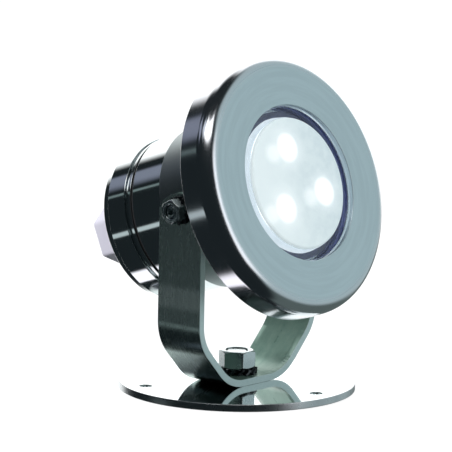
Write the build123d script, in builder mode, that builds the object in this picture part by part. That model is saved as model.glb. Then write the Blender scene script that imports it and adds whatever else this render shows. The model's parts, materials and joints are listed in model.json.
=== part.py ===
"""Underwater pond light: a round base plate, a U-shaped bracket and a tilting LED lamp head."""
from build123d import *
import math
import os

os.makedirs("parts", exist_ok=True)

# The origin is the centre of the base plate's underside, +Z is up and the lamp faces -Y.

# Clearances
seat_gap = 0.05          # between clamped faces that slide on each other
slip_gap = 0.10          # radial, between turned pieces that push into each other
screw_gap = 0.20         # radial, round a screw in a plain hole
arm_gap = 0.25           # from the shoulder of the housing to each arm of the bracket

# Base plate
plate_diameter = 87.2
plate_thickness = 2.7
plate_edge_break = 0.3
fixing_circle = 72.0
fixing_count = 3
fixing_hole = 4.8
fixing_turn = 33.6

# Stud, lock washer and nut that hold the bracket down
stud_diameter = 8.0
stud_head_ledge = 1.5    # of the head round the stud
stud_head_height = 1.6
stud_end_chamfer = 0.6
stud_recess = 0.4        # of the stud's end below the nut's face
stud_nut_flats = 12.0
stud_nut_height = 6.5
stud_nut_turn = 0.5
stud_washer_diameter = 15.0
stud_washer_height = 2.2
stud_washer_teeth = 14

# Nuts and lock washers
nut_face_share = 0.96    # of the distance across flats, left flat on a nut's face
nut_corner_angle = 30.0  # of the turned-off corners
nut_countersink = 0.4
washer_ring_share = 0.4  # of the washer's height, taken by its ring
washer_tooth_share = 0.8 # of the height, taken by a tooth's thickness round the ring
washer_tooth_lean = 0.25 # of the height, from the middle of a tooth to its ends
washer_root_share = 0.4  # of the washer's radial width, left uncut inside the teeth

# Bracket, a flat bar bent to a U
bar_width = 20.0
bar_thickness = 2.5
foot_width = 31.0        # across the lower bends, where the straight faces would meet
shoulder_rise = 18.5     # from the plate to the upper bends, where the faces would meet
lower_bend = 18.5        # outside radii
upper_bend = 17.7
arm_end_rise = 6.2       # above the pivot
arm_end_radius = 11.0
pivot_height = 69.8
tilt_angle = 19.2        # of the lamp above level, as it stands

# Pivots
pivot_screw_diameter = 5.0
pivot_screw_depth = 7.5  # thread held in the housing
pivot_screw_socket = 2.5
pivot_socket_depth = 2.2
pivot_end_chamfer = 0.55
pivot_screw_recess = 0.4 # of the screw's end below the nut's face
pivot_nut_flats = 8.0
pivot_nut_height = 4.0
pivot_washer_diameter = 10.4
pivot_washer_height = 1.7
pivot_washer_teeth = 10
spacer_diameter = 12.0
spacer_thickness = 0.75
boss_diameter = 10.4
boss_floor = 1.5         # metal left under the end of the pivot's blind hole

# Housing body: distances along the lamp's axis are from the pivot, forwards positive
shoulder_diameter = 60.6
shoulder_step = 0.7      # down to the barrel
shoulder_rear = -11.75
barrel_wall = 2.2
barrel_rear = -26.0
ledge_width = 1.2
ledge_station = 6.0
flange_front = 21.2
flange_thickness = 3.0
flange_hub_width = 1.2   # of the weld ring behind the flange
flange_hub_height = 1.4
flange_weld_leg = 0.9
thread_length = 12.0     # of the rear cap inside the barrel

# Bezel
bezel_diameter = 96.0
bezel_front = 29.7
bezel_depth = 13.8
bezel_edge_radius = 6.0
bezel_web = 3.0
skirt_wall = 2.0
skirt_gap = 0.2
clamp_gap = 0.3          # left between bezel and flange when the gaskets are tight
window_edge_break = 0.3
skirt_edge_radius = 0.5
bezel_screw_count = 6
bezel_screw_turn = 30.0
small_screw_diameter = 3.0
small_head_diameter = 5.5
small_head_height = 1.7
small_head_rounding = 0.6
small_socket = 2.0
small_socket_depth = 1.0
bezel_screw_grip = 5.5   # thread held in the bezel

# Front glass and its gaskets
glass_seat = 5.6         # of the glass on the flange, outside the bore
glass_gap = 0.25         # radial, from the glass to the bezel
glass_lip = 4.3          # of the bezel over the glass
rear_gasket_thickness = 1.0
front_gasket_thickness = 0.5
gasket_width = 3.8
glass_step_gap = 0.3     # radial, from the clear step to the window
glass_step_depth = 2.0   # of the clear step below the bezel's face
glass_trough = 4.2       # wide, from the window's step to the satin face
glass_face_depth = 0.1   # of the satin face below the bezel's face
glass_edge_radius = 0.9

# LED engine
led_circle = 26.6
led_turn = 98.8
led_count = 3
led_package = 3.5
led_package_height = 0.9
led_dome_radius = 1.4
led_dome_rounding = 1.26
sink_plate_thickness = 3.5
sink_fin_thickness = 1.5
sink_fin_pitch = 3.5
sink_fin_count = 10
sink_fin_length = 14.0
sink_fin_gap = 2.7       # from the fins to the ledge in the bore
sink_screw_grip = 2.8
pad_thickness = 0.5
board_gap = 0.3          # from the LED board to the heads of the heat sink's screws
board_thickness = 1.6
board_screw_circle = 14.0
board_screw_grip = 3.0
lead_diameter = 1.3
lead_spread = 2.6
lead_hole = 5.0
lens_disc_thickness = 1.7
lens_rim = 1.3           # of the lens outside its cups
lens_cup_base = 4.0
lens_cup_recess = 2.6
lens_peg_diameter = 3.0
lens_peg_inset = 0.2     # from the LED board's edge
holder_wall = 2.2
holder_ledge = 1.0
holder_top_gap = 0.2

# Rear cap and its O-ring
cap_rear = -41.7
cap_wall = 2.8
cap_end_thickness = 3.5
cap_taper = 0.9          # radial, from the barrel to the cap's rear face
cap_line_station = -38.5
cap_line_depth = 0.25
cap_edge_radius = 0.6
o_ring_section = 1.5
o_ring_groove = 1.6
rib_depth = 0.4          # below the barrel's surface
rib_width = 1.3
relief_depth = 1.3       # below the barrel's surface
relief_width = 1.25

# Driver electronics
driver_board_gap = 2.5   # from the board to the cap's bore
post_inset = 4.0         # from the board's edge to the middle of a post
post_turn = 90.0
post_count = 3
post_length = 14.6
post_flats = 5.5
driver_screw_grip = 4.0
choke_place = (9.0, 3.0)  # on the board, in the lamp's own x and y
choke_diameter = 11.0
choke_height = 7.0
choke_waist = 8.0
choke_flange = 1.2
capacitor_place = (-10.0, 2.0)
capacitor_diameter = 8.0
capacitor_height = 11.0
capacitor_rounding = 0.6
rectifier_place = (2.0, 11.0)
rectifier_size = (8.0, 6.0, 2.6)
chip_place = (-4.0, -11.0)
chip_size = (5.0, 4.0, 1.5)
package_edge = 0.4
terminal_size = (11.0, 8.0, 9.5)
terminal_hole = 3.0

# Cable gland
gland_thread = 16.0
gland_wall = 3.0         # from the thread to the flats
gland_turn = 4.2
gland_washer_thickness = 1.0
gland_washer_inset = 0.5 # from the flats
gland_flange_height = 4.5
gland_spigot = 6.5       # through the cap's end and past it, inside
gland_bore = 10.0
gland_neck = 7.5         # male thread under the nut
gland_socket_wall = 1.3
gland_socket_floor = 2.25 # inside the flange, from its rear face
gland_lock_nut_wall = 2.0
gland_lock_nut_height = 3.0
gland_nut_gap = 0.4
gland_nut_height = 16.0
gland_nut_bore = 9.2
gland_edge = 0.8
claw_wall = 1.0
claw_slot = 0.8
claw_slot_count = 8
claw_length = 10.0
seal_bore = 7.4
seal_length = 8.8

# Diameters that follow from the sizes above
stud_head_diameter = stud_diameter + 2 * stud_head_ledge
barrel_diameter = shoulder_diameter - 2 * shoulder_step
bore_diameter = barrel_diameter - 2 * barrel_wall
glass_diameter = bore_diameter + 2 * glass_seat
glass_pocket = glass_diameter + 2 * glass_gap
window_diameter = glass_diameter - 2 * glass_lip
glass_step_diameter = window_diameter - 2 * glass_step_gap
glass_face_diameter = glass_step_diameter - 2 * glass_trough
skirt_bore = bezel_diameter - 2 * skirt_wall
bezel_screw_circle = (glass_pocket + skirt_bore) / 2
holder_radius = bore_diameter / 2 - slip_gap
lens_diameter = 2 * (holder_radius - holder_wall - slip_gap)
lens_cup_mouth = (lens_diameter - led_circle) / 2 - lens_rim
sink_fin_circle = bore_diameter - 2 * ledge_width - 2 * sink_fin_gap
gland_flats = gland_thread + 2 * gland_wall
gland_washer_diameter = gland_flats - 2 * gland_washer_inset
gland_socket = gland_thread - 2 * gland_socket_wall
gland_lock_nut_flats = gland_thread + 2 * gland_lock_nut_wall

# Places along the stud and the pivots that follow from the sizes above
plate_top = plate_thickness
foot_bottom = plate_top + seat_gap
foot_top = foot_bottom + bar_thickness
stud_washer_seat = foot_top + seat_gap
stud_nut_seat = stud_washer_seat + stud_washer_height
stud_end = stud_nut_seat + stud_nut_height - stud_recess
arm_inside = shoulder_diameter / 2 + arm_gap
arm_outside = arm_inside + bar_thickness
pivot_washer_seat = arm_outside + seat_gap
pivot_nut_seat = pivot_washer_seat + pivot_washer_height
pivot_screw_end = pivot_nut_seat + pivot_nut_height - pivot_screw_recess
spacer_seat = arm_inside - seat_gap - spacer_thickness
pivot_screw_start = spacer_seat - pivot_screw_depth
boss_start = pivot_screw_start - boss_floor
sink_screw_spread = boss_start + bore_diameter / 2
board_diameter = sink_screw_spread - small_head_diameter - 2 * board_gap
lens_peg_circle = board_diameter - lens_peg_diameter - 2 * lens_peg_inset

# Places along the lamp's axis that follow from the sizes above
flange_rear = flange_front - flange_thickness
bezel_rear = bezel_front - bezel_depth
bezel_ring_rear = flange_front + clamp_gap
glass_rear = flange_front + rear_gasket_thickness
glass_shoulder = bezel_front - bezel_web - front_gasket_thickness
glass_step = bezel_front - glass_step_depth
glass_face = bezel_front - glass_face_depth
sink_front = ledge_station + sink_plate_thickness
board_rear = sink_front + pad_thickness
board_front = board_rear + board_thickness
lens_front = glass_rear - holder_top_gap
lens_disc_rear = lens_front - lens_disc_thickness
spigot_front = barrel_rear + thread_length
rib_front = barrel_rear - o_ring_groove
rib_rear = rib_front - rib_width
cap_front = rib_rear - relief_width
cap_floor = cap_rear + cap_end_thickness
spigot_radius = bore_diameter / 2 - slip_gap
cap_bore = spigot_radius - cap_wall
driver_board_diameter = 2 * (cap_bore - driver_board_gap)
post_circle = driver_board_diameter - 2 * post_inset
driver_rear = cap_floor + post_length
driver_front = driver_rear + board_thickness
gland_flange_front = cap_rear - gland_washer_thickness
gland_flange_rear = gland_flange_front - gland_flange_height
gland_inner_end = cap_floor + gland_spigot - cap_end_thickness
gland_neck_end = gland_flange_rear - gland_neck
socket_floor = gland_flange_rear + gland_socket_floor
claw_end = socket_floor - claw_length
gland_nut_front = gland_flange_rear - gland_nut_gap
gland_nut_rear = gland_nut_front - gland_nut_height

# The lamp's own planes: "lamp" looks along the beam, "section" holds the axis and the pivots
tilt = math.radians(tilt_angle)
pivot = Vector(0, 0, pivot_height)
beam = Vector(0, -math.cos(tilt), math.sin(tilt))
lamp = Plane(origin=pivot, x_dir=(1, 0, 0), z_dir=beam)
section = Plane(origin=pivot, x_dir=(1, 0, 0), z_dir=(0, -math.sin(tilt), -math.cos(tilt)))
lamp_axis = Axis(origin=pivot, direction=beam)


def side_plane(side, distance):
    """A plane across the pivot line on one side, facing outwards, with its x axis upright."""
    return Plane(origin=(side * distance, 0, pivot_height), x_dir=(0, 0, 1), z_dir=(side, 0, 0))


def ring(plane, outer_radius, inner_radius, height):
    """A flat ring that stands on a plane."""
    with BuildPart() as piece:
        with BuildSketch(plane):
            Circle(outer_radius)
            Circle(inner_radius, mode=Mode.SUBTRACT)
        extrude(amount=height)
    return piece.part


def hex_nut(plane, flats, height, bore_radius, turn):
    """A hexagon nut on a plane, with its corners turned off at both faces."""
    corner = flats / math.sqrt(3)
    face = nut_face_share * flats / 2
    drop = (corner - face) * math.tan(math.radians(nut_corner_angle))
    upright = Plane(origin=plane.origin, x_dir=plane.x_dir, z_dir=-plane.y_dir)
    with BuildPart() as nut:
        with BuildSketch(plane):
            RegularPolygon(radius=flats / 2, side_count=6, major_radius=False, rotation=turn)
            Circle(bore_radius, mode=Mode.SUBTRACT)
        extrude(amount=height)
        with BuildSketch(upright):
            with BuildLine():
                Polyline((0, 0), (face, 0), (corner, drop), (corner, height - drop),
                         (face, height), (0, height), close=True)
            make_face()
        revolve(axis=Axis(plane.origin, plane.z_dir), mode=Mode.INTERSECT)
        chamfer(nut.edges().filter_by(GeomType.CIRCLE).group_by(SortBy.RADIUS)[0],
                length=nut_countersink)
    return nut.part


def toothed_washer(plane, outer_radius, bore_radius, height, teeth):
    """A lock washer: a thin ring with twisted teeth that stand from face to face."""
    root_radius = bore_radius + washer_root_share * (outer_radius - bore_radius)
    ring_height = washer_ring_share * height
    lean = washer_tooth_lean * height
    half = washer_tooth_share * height / 2
    side = Plane(origin=plane.origin, x_dir=plane.x_dir, z_dir=plane.y_dir)
    with BuildPart() as washer:
        with BuildSketch(plane.offset((height - ring_height) / 2)):
            Circle((root_radius + outer_radius) / 2)
            Circle(bore_radius, mode=Mode.SUBTRACT)
        extrude(amount=ring_height)
        with BuildSketch(side.offset(root_radius), mode=Mode.PRIVATE) as tooth_shape:
            with BuildLine():
                Polyline((-lean - half, 0), (half - lean, 0), (lean + half, -height),
                         (lean - half, -height), close=True)
            make_face()
        tooth = extrude(tooth_shape.sketch, amount=outer_radius - root_radius, mode=Mode.PRIVATE)
        for number in range(teeth):
            add(tooth.rotate(Axis(plane.origin, plane.z_dir), number * 360 / teeth))
    return washer.part


def small_screw(plane, grip):
    """A low-headed hex socket screw: the plane is under its head and faces the head's top."""
    with BuildPart() as screw:
        with BuildSketch(plane):
            Circle(small_head_diameter / 2)
        extrude(amount=small_head_height)
        fillet(screw.faces().sort_by(Axis(plane.origin, plane.z_dir))[-1].edges(),
               radius=small_head_rounding)
        with BuildSketch(plane.offset(small_head_height)):
            RegularPolygon(radius=small_socket / 2, side_count=6, major_radius=False)
        extrude(amount=-small_socket_depth, mode=Mode.SUBTRACT)
        with BuildSketch(plane):
            Circle(small_screw_diameter / 2)
        extrude(amount=-grip)
    return screw.part


def on_circle(diameter, count, turn):
    """Points in the lamp's own x and y, evenly round a circle about its axis."""
    angles = [math.radians(turn + number * 360 / count) for number in range(count)]
    return [(diameter / 2 * math.cos(angle), diameter / 2 * math.sin(angle)) for angle in angles]


def lamp_plane(place, station, facing=1):
    """A plane across the lamp's axis at a point in its own x and y."""
    level = lamp.offset(station)
    return Plane(origin=level.from_local_coords(Vector(*place, 0)), x_dir=lamp.x_dir,
                 z_dir=lamp.z_dir * facing)


def save(piece, name):
    """Label a finished piece and write it as a node of its own."""
    piece.label = name
    export_step(piece, f"parts/{name}.step")


# Stand

with BuildPart() as base_plate:
    with BuildSketch():
        Circle(plate_diameter / 2)
        Circle(stud_diameter / 2, mode=Mode.SUBTRACT)
        with PolarLocations(fixing_circle / 2, fixing_count, start_angle=fixing_turn):
            Circle(fixing_hole / 2, mode=Mode.SUBTRACT)
    extrude(amount=plate_thickness)
    chamfer(base_plate.edges().filter_by(GeomType.CIRCLE).sort_by(SortBy.RADIUS)[-2:],
            length=plate_edge_break)
    with BuildSketch():
        Circle(stud_head_diameter / 2)
    extrude(amount=stud_head_height, mode=Mode.SUBTRACT)
save(base_plate.part, "base_plate")

with BuildPart() as base_stud:
    with BuildSketch():
        Circle(stud_head_diameter / 2)
    extrude(amount=stud_head_height)
    with BuildSketch():
        Circle(stud_diameter / 2)
    extrude(amount=stud_end)
    chamfer(base_stud.faces().sort_by(Axis.Z)[-1].edges(), length=stud_end_chamfer)
save(base_stud.part, "base_stud")

save(toothed_washer(Plane.XY.offset(stud_washer_seat), stud_washer_diameter / 2,
                    stud_diameter / 2 + slip_gap, stud_washer_height, stud_washer_teeth),
     "bracket_lock_washer")
save(hex_nut(Plane.XY.offset(stud_nut_seat), stud_nut_flats, stud_nut_height,
             stud_diameter / 2, stud_nut_turn), "bracket_nut")

# Bracket

with BuildPart() as bracket:
    with BuildSketch(Plane.XZ):
        with BuildLine():
            bar_line = FilletPolyline(
                (-arm_outside, pivot_height + arm_end_rise),
                (-arm_outside, plate_top + shoulder_rise),
                (-foot_width / 2, foot_bottom),
                (foot_width / 2, foot_bottom),
                (arm_outside, plate_top + shoulder_rise),
                (arm_outside, pivot_height + arm_end_rise),
                radius=(upper_bend, lower_bend, lower_bend, upper_bend))
            offset(bar_line, amount=bar_thickness, side=Side.LEFT)
        make_face()
    extrude(amount=bar_width / 2, both=True)
    with BuildSketch(Plane.YZ):
        with Locations((0, pivot_height + arm_end_rise - arm_end_radius)):
            Circle(arm_end_radius)
        with Locations((0, pivot_height + arm_end_rise - arm_end_radius)):
            Rectangle(bar_width, 2 * pivot_height, align=(Align.CENTER, Align.MAX))
    extrude(amount=2 * arm_outside, both=True, mode=Mode.INTERSECT)
    with BuildSketch(Plane.XY.offset(foot_top)):
        Circle(stud_diameter / 2 + slip_gap)
    extrude(amount=-2 * bar_thickness, mode=Mode.SUBTRACT)
    with BuildSketch(side_plane(1, 0)):
        Circle(pivot_screw_diameter / 2 + slip_gap)
    extrude(amount=2 * arm_outside, both=True, mode=Mode.SUBTRACT)
save(bracket.part, "bracket")

# Pivots, one set on each side


def pivot_screw(side):
    """A set screw whose hex socket faces outwards."""
    with BuildPart() as screw:
        with BuildSketch(side_plane(side, pivot_screw_start)):
            Circle(pivot_screw_diameter / 2)
        extrude(amount=pivot_screw_end - pivot_screw_start)
        outer_face = screw.faces().sort_by(Axis((0, 0, 0), (side, 0, 0)))[-1]
        chamfer(outer_face.edges(), length=pivot_end_chamfer)
        with BuildSketch(side_plane(side, pivot_screw_end)):
            RegularPolygon(radius=pivot_screw_socket / 2, side_count=6, major_radius=False)
        extrude(amount=-pivot_socket_depth, mode=Mode.SUBTRACT)
    return screw.part


def pair(maker):
    """The same piece on both sides of the lamp, as one group."""
    return Compound(children=[maker(-1), maker(1)])


save(pair(pivot_screw), "pivot_set_screws")
save(pair(lambda side: ring(side_plane(side, spacer_seat), spacer_diameter / 2,
                            pivot_screw_diameter / 2 + slip_gap, spacer_thickness)),
     "pivot_spacers")
save(pair(lambda side: toothed_washer(side_plane(side, pivot_washer_seat),
                                      pivot_washer_diameter / 2,
                                      pivot_screw_diameter / 2 + slip_gap,
                                      pivot_washer_height, pivot_washer_teeth)),
     "pivot_lock_washers")
save(pair(lambda side: hex_nut(side_plane(side, pivot_nut_seat), pivot_nut_flats,
                               pivot_nut_height, pivot_screw_diameter / 2, 0)),
     "pivot_nuts")

# Housing body

screw_points = on_circle(bezel_screw_circle, bezel_screw_count, bezel_screw_turn)

with BuildPart() as housing_body:
    with BuildSketch(section):
        with BuildLine():
            Polyline((bore_diameter / 2, flange_front),
                     (shoulder_diameter / 2, flange_front),
                     (shoulder_diameter / 2, shoulder_rear),
                     (barrel_diameter / 2, shoulder_rear),
                     (barrel_diameter / 2, barrel_rear),
                     (bore_diameter / 2, barrel_rear),
                     (bore_diameter / 2, spigot_front),
                     (bore_diameter / 2 - ledge_width, spigot_front),
                     (bore_diameter / 2 - ledge_width, ledge_station),
                     (bore_diameter / 2, ledge_station),
                     close=True)
        make_face()
    revolve(axis=lamp_axis)
    for side in (-1, 1):
        with BuildSketch(side_plane(side, boss_start)):
            Circle(boss_diameter / 2)
        extrude(amount=bore_diameter / 2 - boss_start)
        with BuildSketch(lamp.offset(ledge_station)):
            with Locations((side * (boss_start + bore_diameter / 2) / 2, 0)):
                Rectangle(bore_diameter / 2 - boss_start, boss_diameter)
        extrude(amount=-ledge_station)
        with BuildSketch(side_plane(side, spacer_seat)):
            Circle(spacer_diameter / 2 + slip_gap)
        extrude(amount=spacer_thickness + arm_gap, mode=Mode.SUBTRACT)
        with BuildSketch(side_plane(side, pivot_screw_start)):
            Circle(pivot_screw_diameter / 2)
        extrude(amount=pivot_screw_depth, mode=Mode.SUBTRACT)
        with BuildSketch(lamp_plane((side * sink_screw_spread / 2, 0), ledge_station)):
            Circle(small_screw_diameter / 2)
        extrude(amount=-sink_screw_grip, mode=Mode.SUBTRACT)
save(housing_body.part, "housing_body")

with BuildPart() as housing_flange:
    with BuildSketch(section):
        with BuildLine():
            Polyline((shoulder_diameter / 2, flange_front),
                     (skirt_bore / 2 - skirt_gap, flange_front),
                     (skirt_bore / 2 - skirt_gap, flange_rear),
                     (shoulder_diameter / 2 + flange_hub_width, flange_rear),
                     (shoulder_diameter / 2 + flange_hub_width,
                      flange_rear - flange_hub_height + flange_weld_leg),
                     (shoulder_diameter / 2 + flange_hub_width - flange_weld_leg,
                      flange_rear - flange_hub_height),
                     (shoulder_diameter / 2, flange_rear - flange_hub_height),
                     close=True)
        make_face()
    revolve(axis=lamp_axis)
    for point in screw_points:
        with BuildSketch(lamp_plane(point, flange_front)):
            Circle(small_screw_diameter / 2 + screw_gap)
        extrude(amount=-flange_thickness, mode=Mode.SUBTRACT)
save(housing_flange.part, "housing_flange")

# Bezel and its screws

with BuildPart() as bezel:
    with BuildSketch(section):
        with BuildLine():
            Polyline((window_diameter / 2, bezel_front),
                     (bezel_diameter / 2, bezel_front),
                     (bezel_diameter / 2, bezel_rear),
                     (skirt_bore / 2, bezel_rear),
                     (skirt_bore / 2, bezel_ring_rear),
                     (glass_pocket / 2, bezel_ring_rear),
                     (glass_pocket / 2, bezel_front - bezel_web),
                     (window_diameter / 2, bezel_front - bezel_web),
                     close=True)
        make_face()
    revolve(axis=lamp_axis)
    rim_edges = bezel.faces().sort_by(lamp_axis)[-1].edges().sort_by(SortBy.RADIUS)
    fillet(rim_edges[-1], radius=bezel_edge_radius)
    chamfer(bezel.faces().filter_by(GeomType.PLANE).sort_by(lamp_axis)[-1].edges()
            .sort_by(SortBy.RADIUS)[0], length=window_edge_break)
    fillet(bezel.faces().filter_by(GeomType.PLANE).sort_by(lamp_axis)[0].edges()
           .sort_by(SortBy.RADIUS)[-1], radius=skirt_edge_radius)
    for point in screw_points:
        with BuildSketch(lamp_plane(point, bezel_ring_rear)):
            Circle(small_screw_diameter / 2)
        extrude(amount=bezel_screw_grip, mode=Mode.SUBTRACT)
save(bezel.part, "bezel")

bezel_screw_length = flange_thickness + clamp_gap + bezel_screw_grip
save(Compound(children=[small_screw(lamp_plane(point, flange_rear, facing=-1), bezel_screw_length)
                        for point in screw_points]), "bezel_screws")

# Front glass between its gaskets

with BuildPart() as front_glass:
    with BuildSketch(section):
        with BuildLine():
            Polyline((0, glass_rear),
                     (glass_diameter / 2, glass_rear),
                     (glass_diameter / 2, glass_shoulder),
                     (glass_step_diameter / 2, glass_shoulder),
                     (glass_step_diameter / 2, glass_step),
                     (glass_face_diameter / 2, glass_step),
                     (glass_face_diameter / 2, glass_face),
                     (0, glass_face),
                     close=True)
        make_face()
    revolve(axis=lamp_axis)
    fillet(front_glass.faces().sort_by(lamp_axis)[-1].edges(), radius=glass_edge_radius)
save(front_glass.part, "front_glass")

save(ring(lamp.offset(flange_front), glass_diameter / 2, glass_diameter / 2 - gasket_width,
          rear_gasket_thickness), "rear_glass_gasket")
save(ring(lamp.offset(glass_shoulder), glass_diameter / 2, glass_diameter / 2 - gasket_width,
          front_gasket_thickness), "front_glass_gasket")

# LED engine, from the heat sink forwards

led_points = on_circle(led_circle, led_count, led_turn)
between_leds = led_turn + 180 / led_count
board_screw_points = on_circle(board_screw_circle, led_count, between_leds)
sink_screw_points = [(-sink_screw_spread / 2, 0), (sink_screw_spread / 2, 0)]

with BuildPart() as heat_sink:
    with BuildSketch(lamp.offset(ledge_station)):
        Circle(bore_diameter / 2 - slip_gap)
        Circle(lead_hole / 2, mode=Mode.SUBTRACT)
        with Locations(*sink_screw_points):
            Circle(small_screw_diameter / 2 + screw_gap, mode=Mode.SUBTRACT)
        with Locations(*board_screw_points):
            Circle(small_screw_diameter / 2, mode=Mode.SUBTRACT)
    extrude(amount=sink_plate_thickness)
    with BuildSketch(lamp.offset(ledge_station)):
        with GridLocations(sink_fin_pitch, 0, sink_fin_count, 1):
            Rectangle(sink_fin_thickness, sink_fin_circle)
        Circle(sink_fin_circle / 2, mode=Mode.INTERSECT)
    extrude(amount=-sink_fin_length)
save(heat_sink.part, "heat_sink")


def board_blank(station, thickness, screw_radius):
    """A round board or pad with the lead hole and the screw holes of the LED board."""
    with BuildPart() as blank:
        with BuildSketch(lamp.offset(station)):
            Circle(board_diameter / 2)
            Circle(lead_hole / 2, mode=Mode.SUBTRACT)
            with Locations(*board_screw_points):
                Circle(screw_radius, mode=Mode.SUBTRACT)
        extrude(amount=thickness)
    return blank.part


save(board_blank(sink_front, pad_thickness, small_screw_diameter / 2 + screw_gap), "thermal_pad")
save(board_blank(board_rear, board_thickness, small_screw_diameter / 2 + screw_gap), "led_board")

board_screw_length = board_thickness + pad_thickness + board_screw_grip
save(Compound(children=[small_screw(lamp_plane(point, board_front), board_screw_length)
                        for point in board_screw_points]), "led_board_screws")
save(Compound(children=[small_screw(lamp_plane(point, sink_front),
                                    sink_plate_thickness + sink_screw_grip)
                        for point in sink_screw_points]), "heat_sink_screws")


def led(point):
    """One emitter: a square package under a clear dome."""
    seat = lamp_plane(point, board_front)
    with BuildPart() as emitter:
        with BuildSketch(seat):
            Rectangle(led_package, led_package)
        extrude(amount=led_package_height)
        with BuildSketch(seat.offset(led_package_height)):
            Circle(led_dome_radius)
        extrude(amount=led_dome_radius)
        fillet(emitter.faces().sort_by(lamp_axis)[-1].edges(), radius=led_dome_rounding)
    return emitter.part


save(Compound(children=[led(point) for point in led_points]), "led_emitters")

with BuildPart() as triple_lens:
    with BuildSketch(lamp.offset(lens_disc_rear)):
        Circle(lens_diameter / 2)
    extrude(amount=lens_disc_thickness)
    for point in led_points:
        with BuildSketch(lamp_plane(point, board_front + led_package_height)):
            Circle(lens_cup_base)
        with BuildSketch(lamp_plane(point, lens_disc_rear)):
            Circle(lens_cup_mouth)
        loft()
        with BuildSketch(lamp_plane(point, board_front)):
            Circle(lens_cup_recess)
        extrude(amount=led_package_height + 2 * led_dome_radius, mode=Mode.SUBTRACT)
    with BuildSketch(lamp.offset(board_front)):
        with PolarLocations(lens_peg_circle / 2, led_count, start_angle=between_leds):
            Circle(lens_peg_diameter / 2)
    extrude(amount=lens_disc_rear - board_front)
save(triple_lens.part, "triple_lens")

holder_throat = lens_diameter / 2 - holder_ledge

with BuildPart() as lens_holder:
    with BuildSketch(section):
        with BuildLine():
            Polyline((holder_throat, sink_front),
                     (holder_radius, sink_front),
                     (holder_radius, lens_front),
                     (lens_diameter / 2 + slip_gap, lens_front),
                     (lens_diameter / 2 + slip_gap, lens_disc_rear),
                     (holder_throat, lens_disc_rear),
                     close=True)
        make_face()
    revolve(axis=lamp_axis)
    for point in sink_screw_points:
        with BuildSketch(lamp_plane(point, sink_front)):
            Circle(small_head_diameter / 2 + screw_gap)
        extrude(amount=small_head_height + screw_gap, mode=Mode.SUBTRACT)
save(lens_holder.part, "lens_holder")


def lead(side):
    """One stiff lead from the driver board through the heat sink to the LED board."""
    with BuildPart() as wire:
        with BuildSketch(lamp_plane((0, side * lead_spread / 2), driver_front)):
            Circle(lead_diameter / 2)
        extrude(amount=board_front - driver_front)
    return wire.part


save(pair(lead), "led_leads")

# Rear cap, its O-ring and the electronics inside

with BuildPart() as rear_cap:
    with BuildSketch(section):
        with BuildLine():
            Polyline((cap_bore, spigot_front),
                     (spigot_radius, spigot_front),
                     (spigot_radius, rib_front),
                     (barrel_diameter / 2 - rib_depth, rib_front),
                     (barrel_diameter / 2 - rib_depth, rib_rear),
                     (barrel_diameter / 2 - relief_depth, rib_rear),
                     (barrel_diameter / 2 - relief_depth, cap_front),
                     (barrel_diameter / 2, cap_front),
                     (barrel_diameter / 2, cap_line_station),
                     (barrel_diameter / 2 - cap_line_depth, cap_line_station - cap_line_depth),
                     (barrel_diameter / 2 - cap_taper, cap_rear),
                     (gland_thread / 2, cap_rear),
                     (gland_thread / 2, cap_floor),
                     (cap_bore, cap_floor),
                     close=True)
        make_face()
    revolve(axis=lamp_axis)
    fillet(rear_cap.faces().sort_by(lamp_axis)[0].edges().sort_by(SortBy.RADIUS)[-1],
           radius=cap_edge_radius)
save(rear_cap.part, "rear_cap")

with BuildPart() as rear_cap_o_ring:
    with BuildSketch(section):
        with Locations((spigot_radius + o_ring_section / 2, barrel_rear - o_ring_groove / 2)):
            Circle(o_ring_section / 2)
    revolve(axis=lamp_axis)
save(rear_cap_o_ring.part, "rear_cap_o_ring")

post_points = on_circle(post_circle, post_count, post_turn)

with BuildPart() as driver_board:
    with BuildSketch(lamp.offset(driver_rear)):
        Circle(driver_board_diameter / 2)
        with Locations(*post_points):
            Circle(small_screw_diameter / 2 + screw_gap, mode=Mode.SUBTRACT)
    extrude(amount=board_thickness)
save(driver_board.part, "driver_board")


def post(point):
    """A hexagon post that holds the driver board off the cap's end."""
    with BuildPart() as pillar:
        with BuildSketch(lamp_plane(point, cap_floor)):
            RegularPolygon(radius=post_flats / 2, side_count=6, major_radius=False)
        extrude(amount=post_length)
        with BuildSketch(lamp_plane(point, driver_rear)):
            Circle(small_screw_diameter / 2)
        extrude(amount=-driver_screw_grip, mode=Mode.SUBTRACT)
    return pillar.part


save(Compound(children=[post(point) for point in post_points]), "driver_board_posts")
save(Compound(children=[small_screw(lamp_plane(point, driver_front),
                                    board_thickness + driver_screw_grip)
                        for point in post_points]), "driver_board_screws")

with BuildPart() as driver_choke:
    with BuildSketch(lamp_plane(choke_place, driver_front)):
        Circle(choke_diameter / 2)
    extrude(amount=choke_height)
    with BuildSketch(lamp_plane(choke_place, driver_front + choke_flange)):
        Circle(choke_diameter / 2)
        Circle(choke_waist / 2, mode=Mode.SUBTRACT)
    extrude(amount=choke_height - 2 * choke_flange, mode=Mode.SUBTRACT)
save(driver_choke.part, "driver_choke")

with BuildPart() as driver_capacitor:
    with BuildSketch(lamp_plane(capacitor_place, driver_front)):
        Circle(capacitor_diameter / 2)
    extrude(amount=capacitor_height)
    fillet(driver_capacitor.faces().sort_by(lamp_axis)[-1].edges(),
           radius=capacitor_rounding)
save(driver_capacitor.part, "driver_capacitor")


def block(place, station, size, facing):
    """A small moulded package on a board."""
    with BuildPart() as body:
        with BuildSketch(lamp_plane(place, station, facing)):
            Rectangle(size[0], size[1])
        extrude(amount=size[2])
        chamfer(body.edges().filter_by(lamp_axis), length=package_edge)
    return body.part


save(block(rectifier_place, driver_front, rectifier_size, 1), "driver_rectifier")
save(block(chip_place, driver_front, chip_size, 1), "driver_chip")

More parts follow.
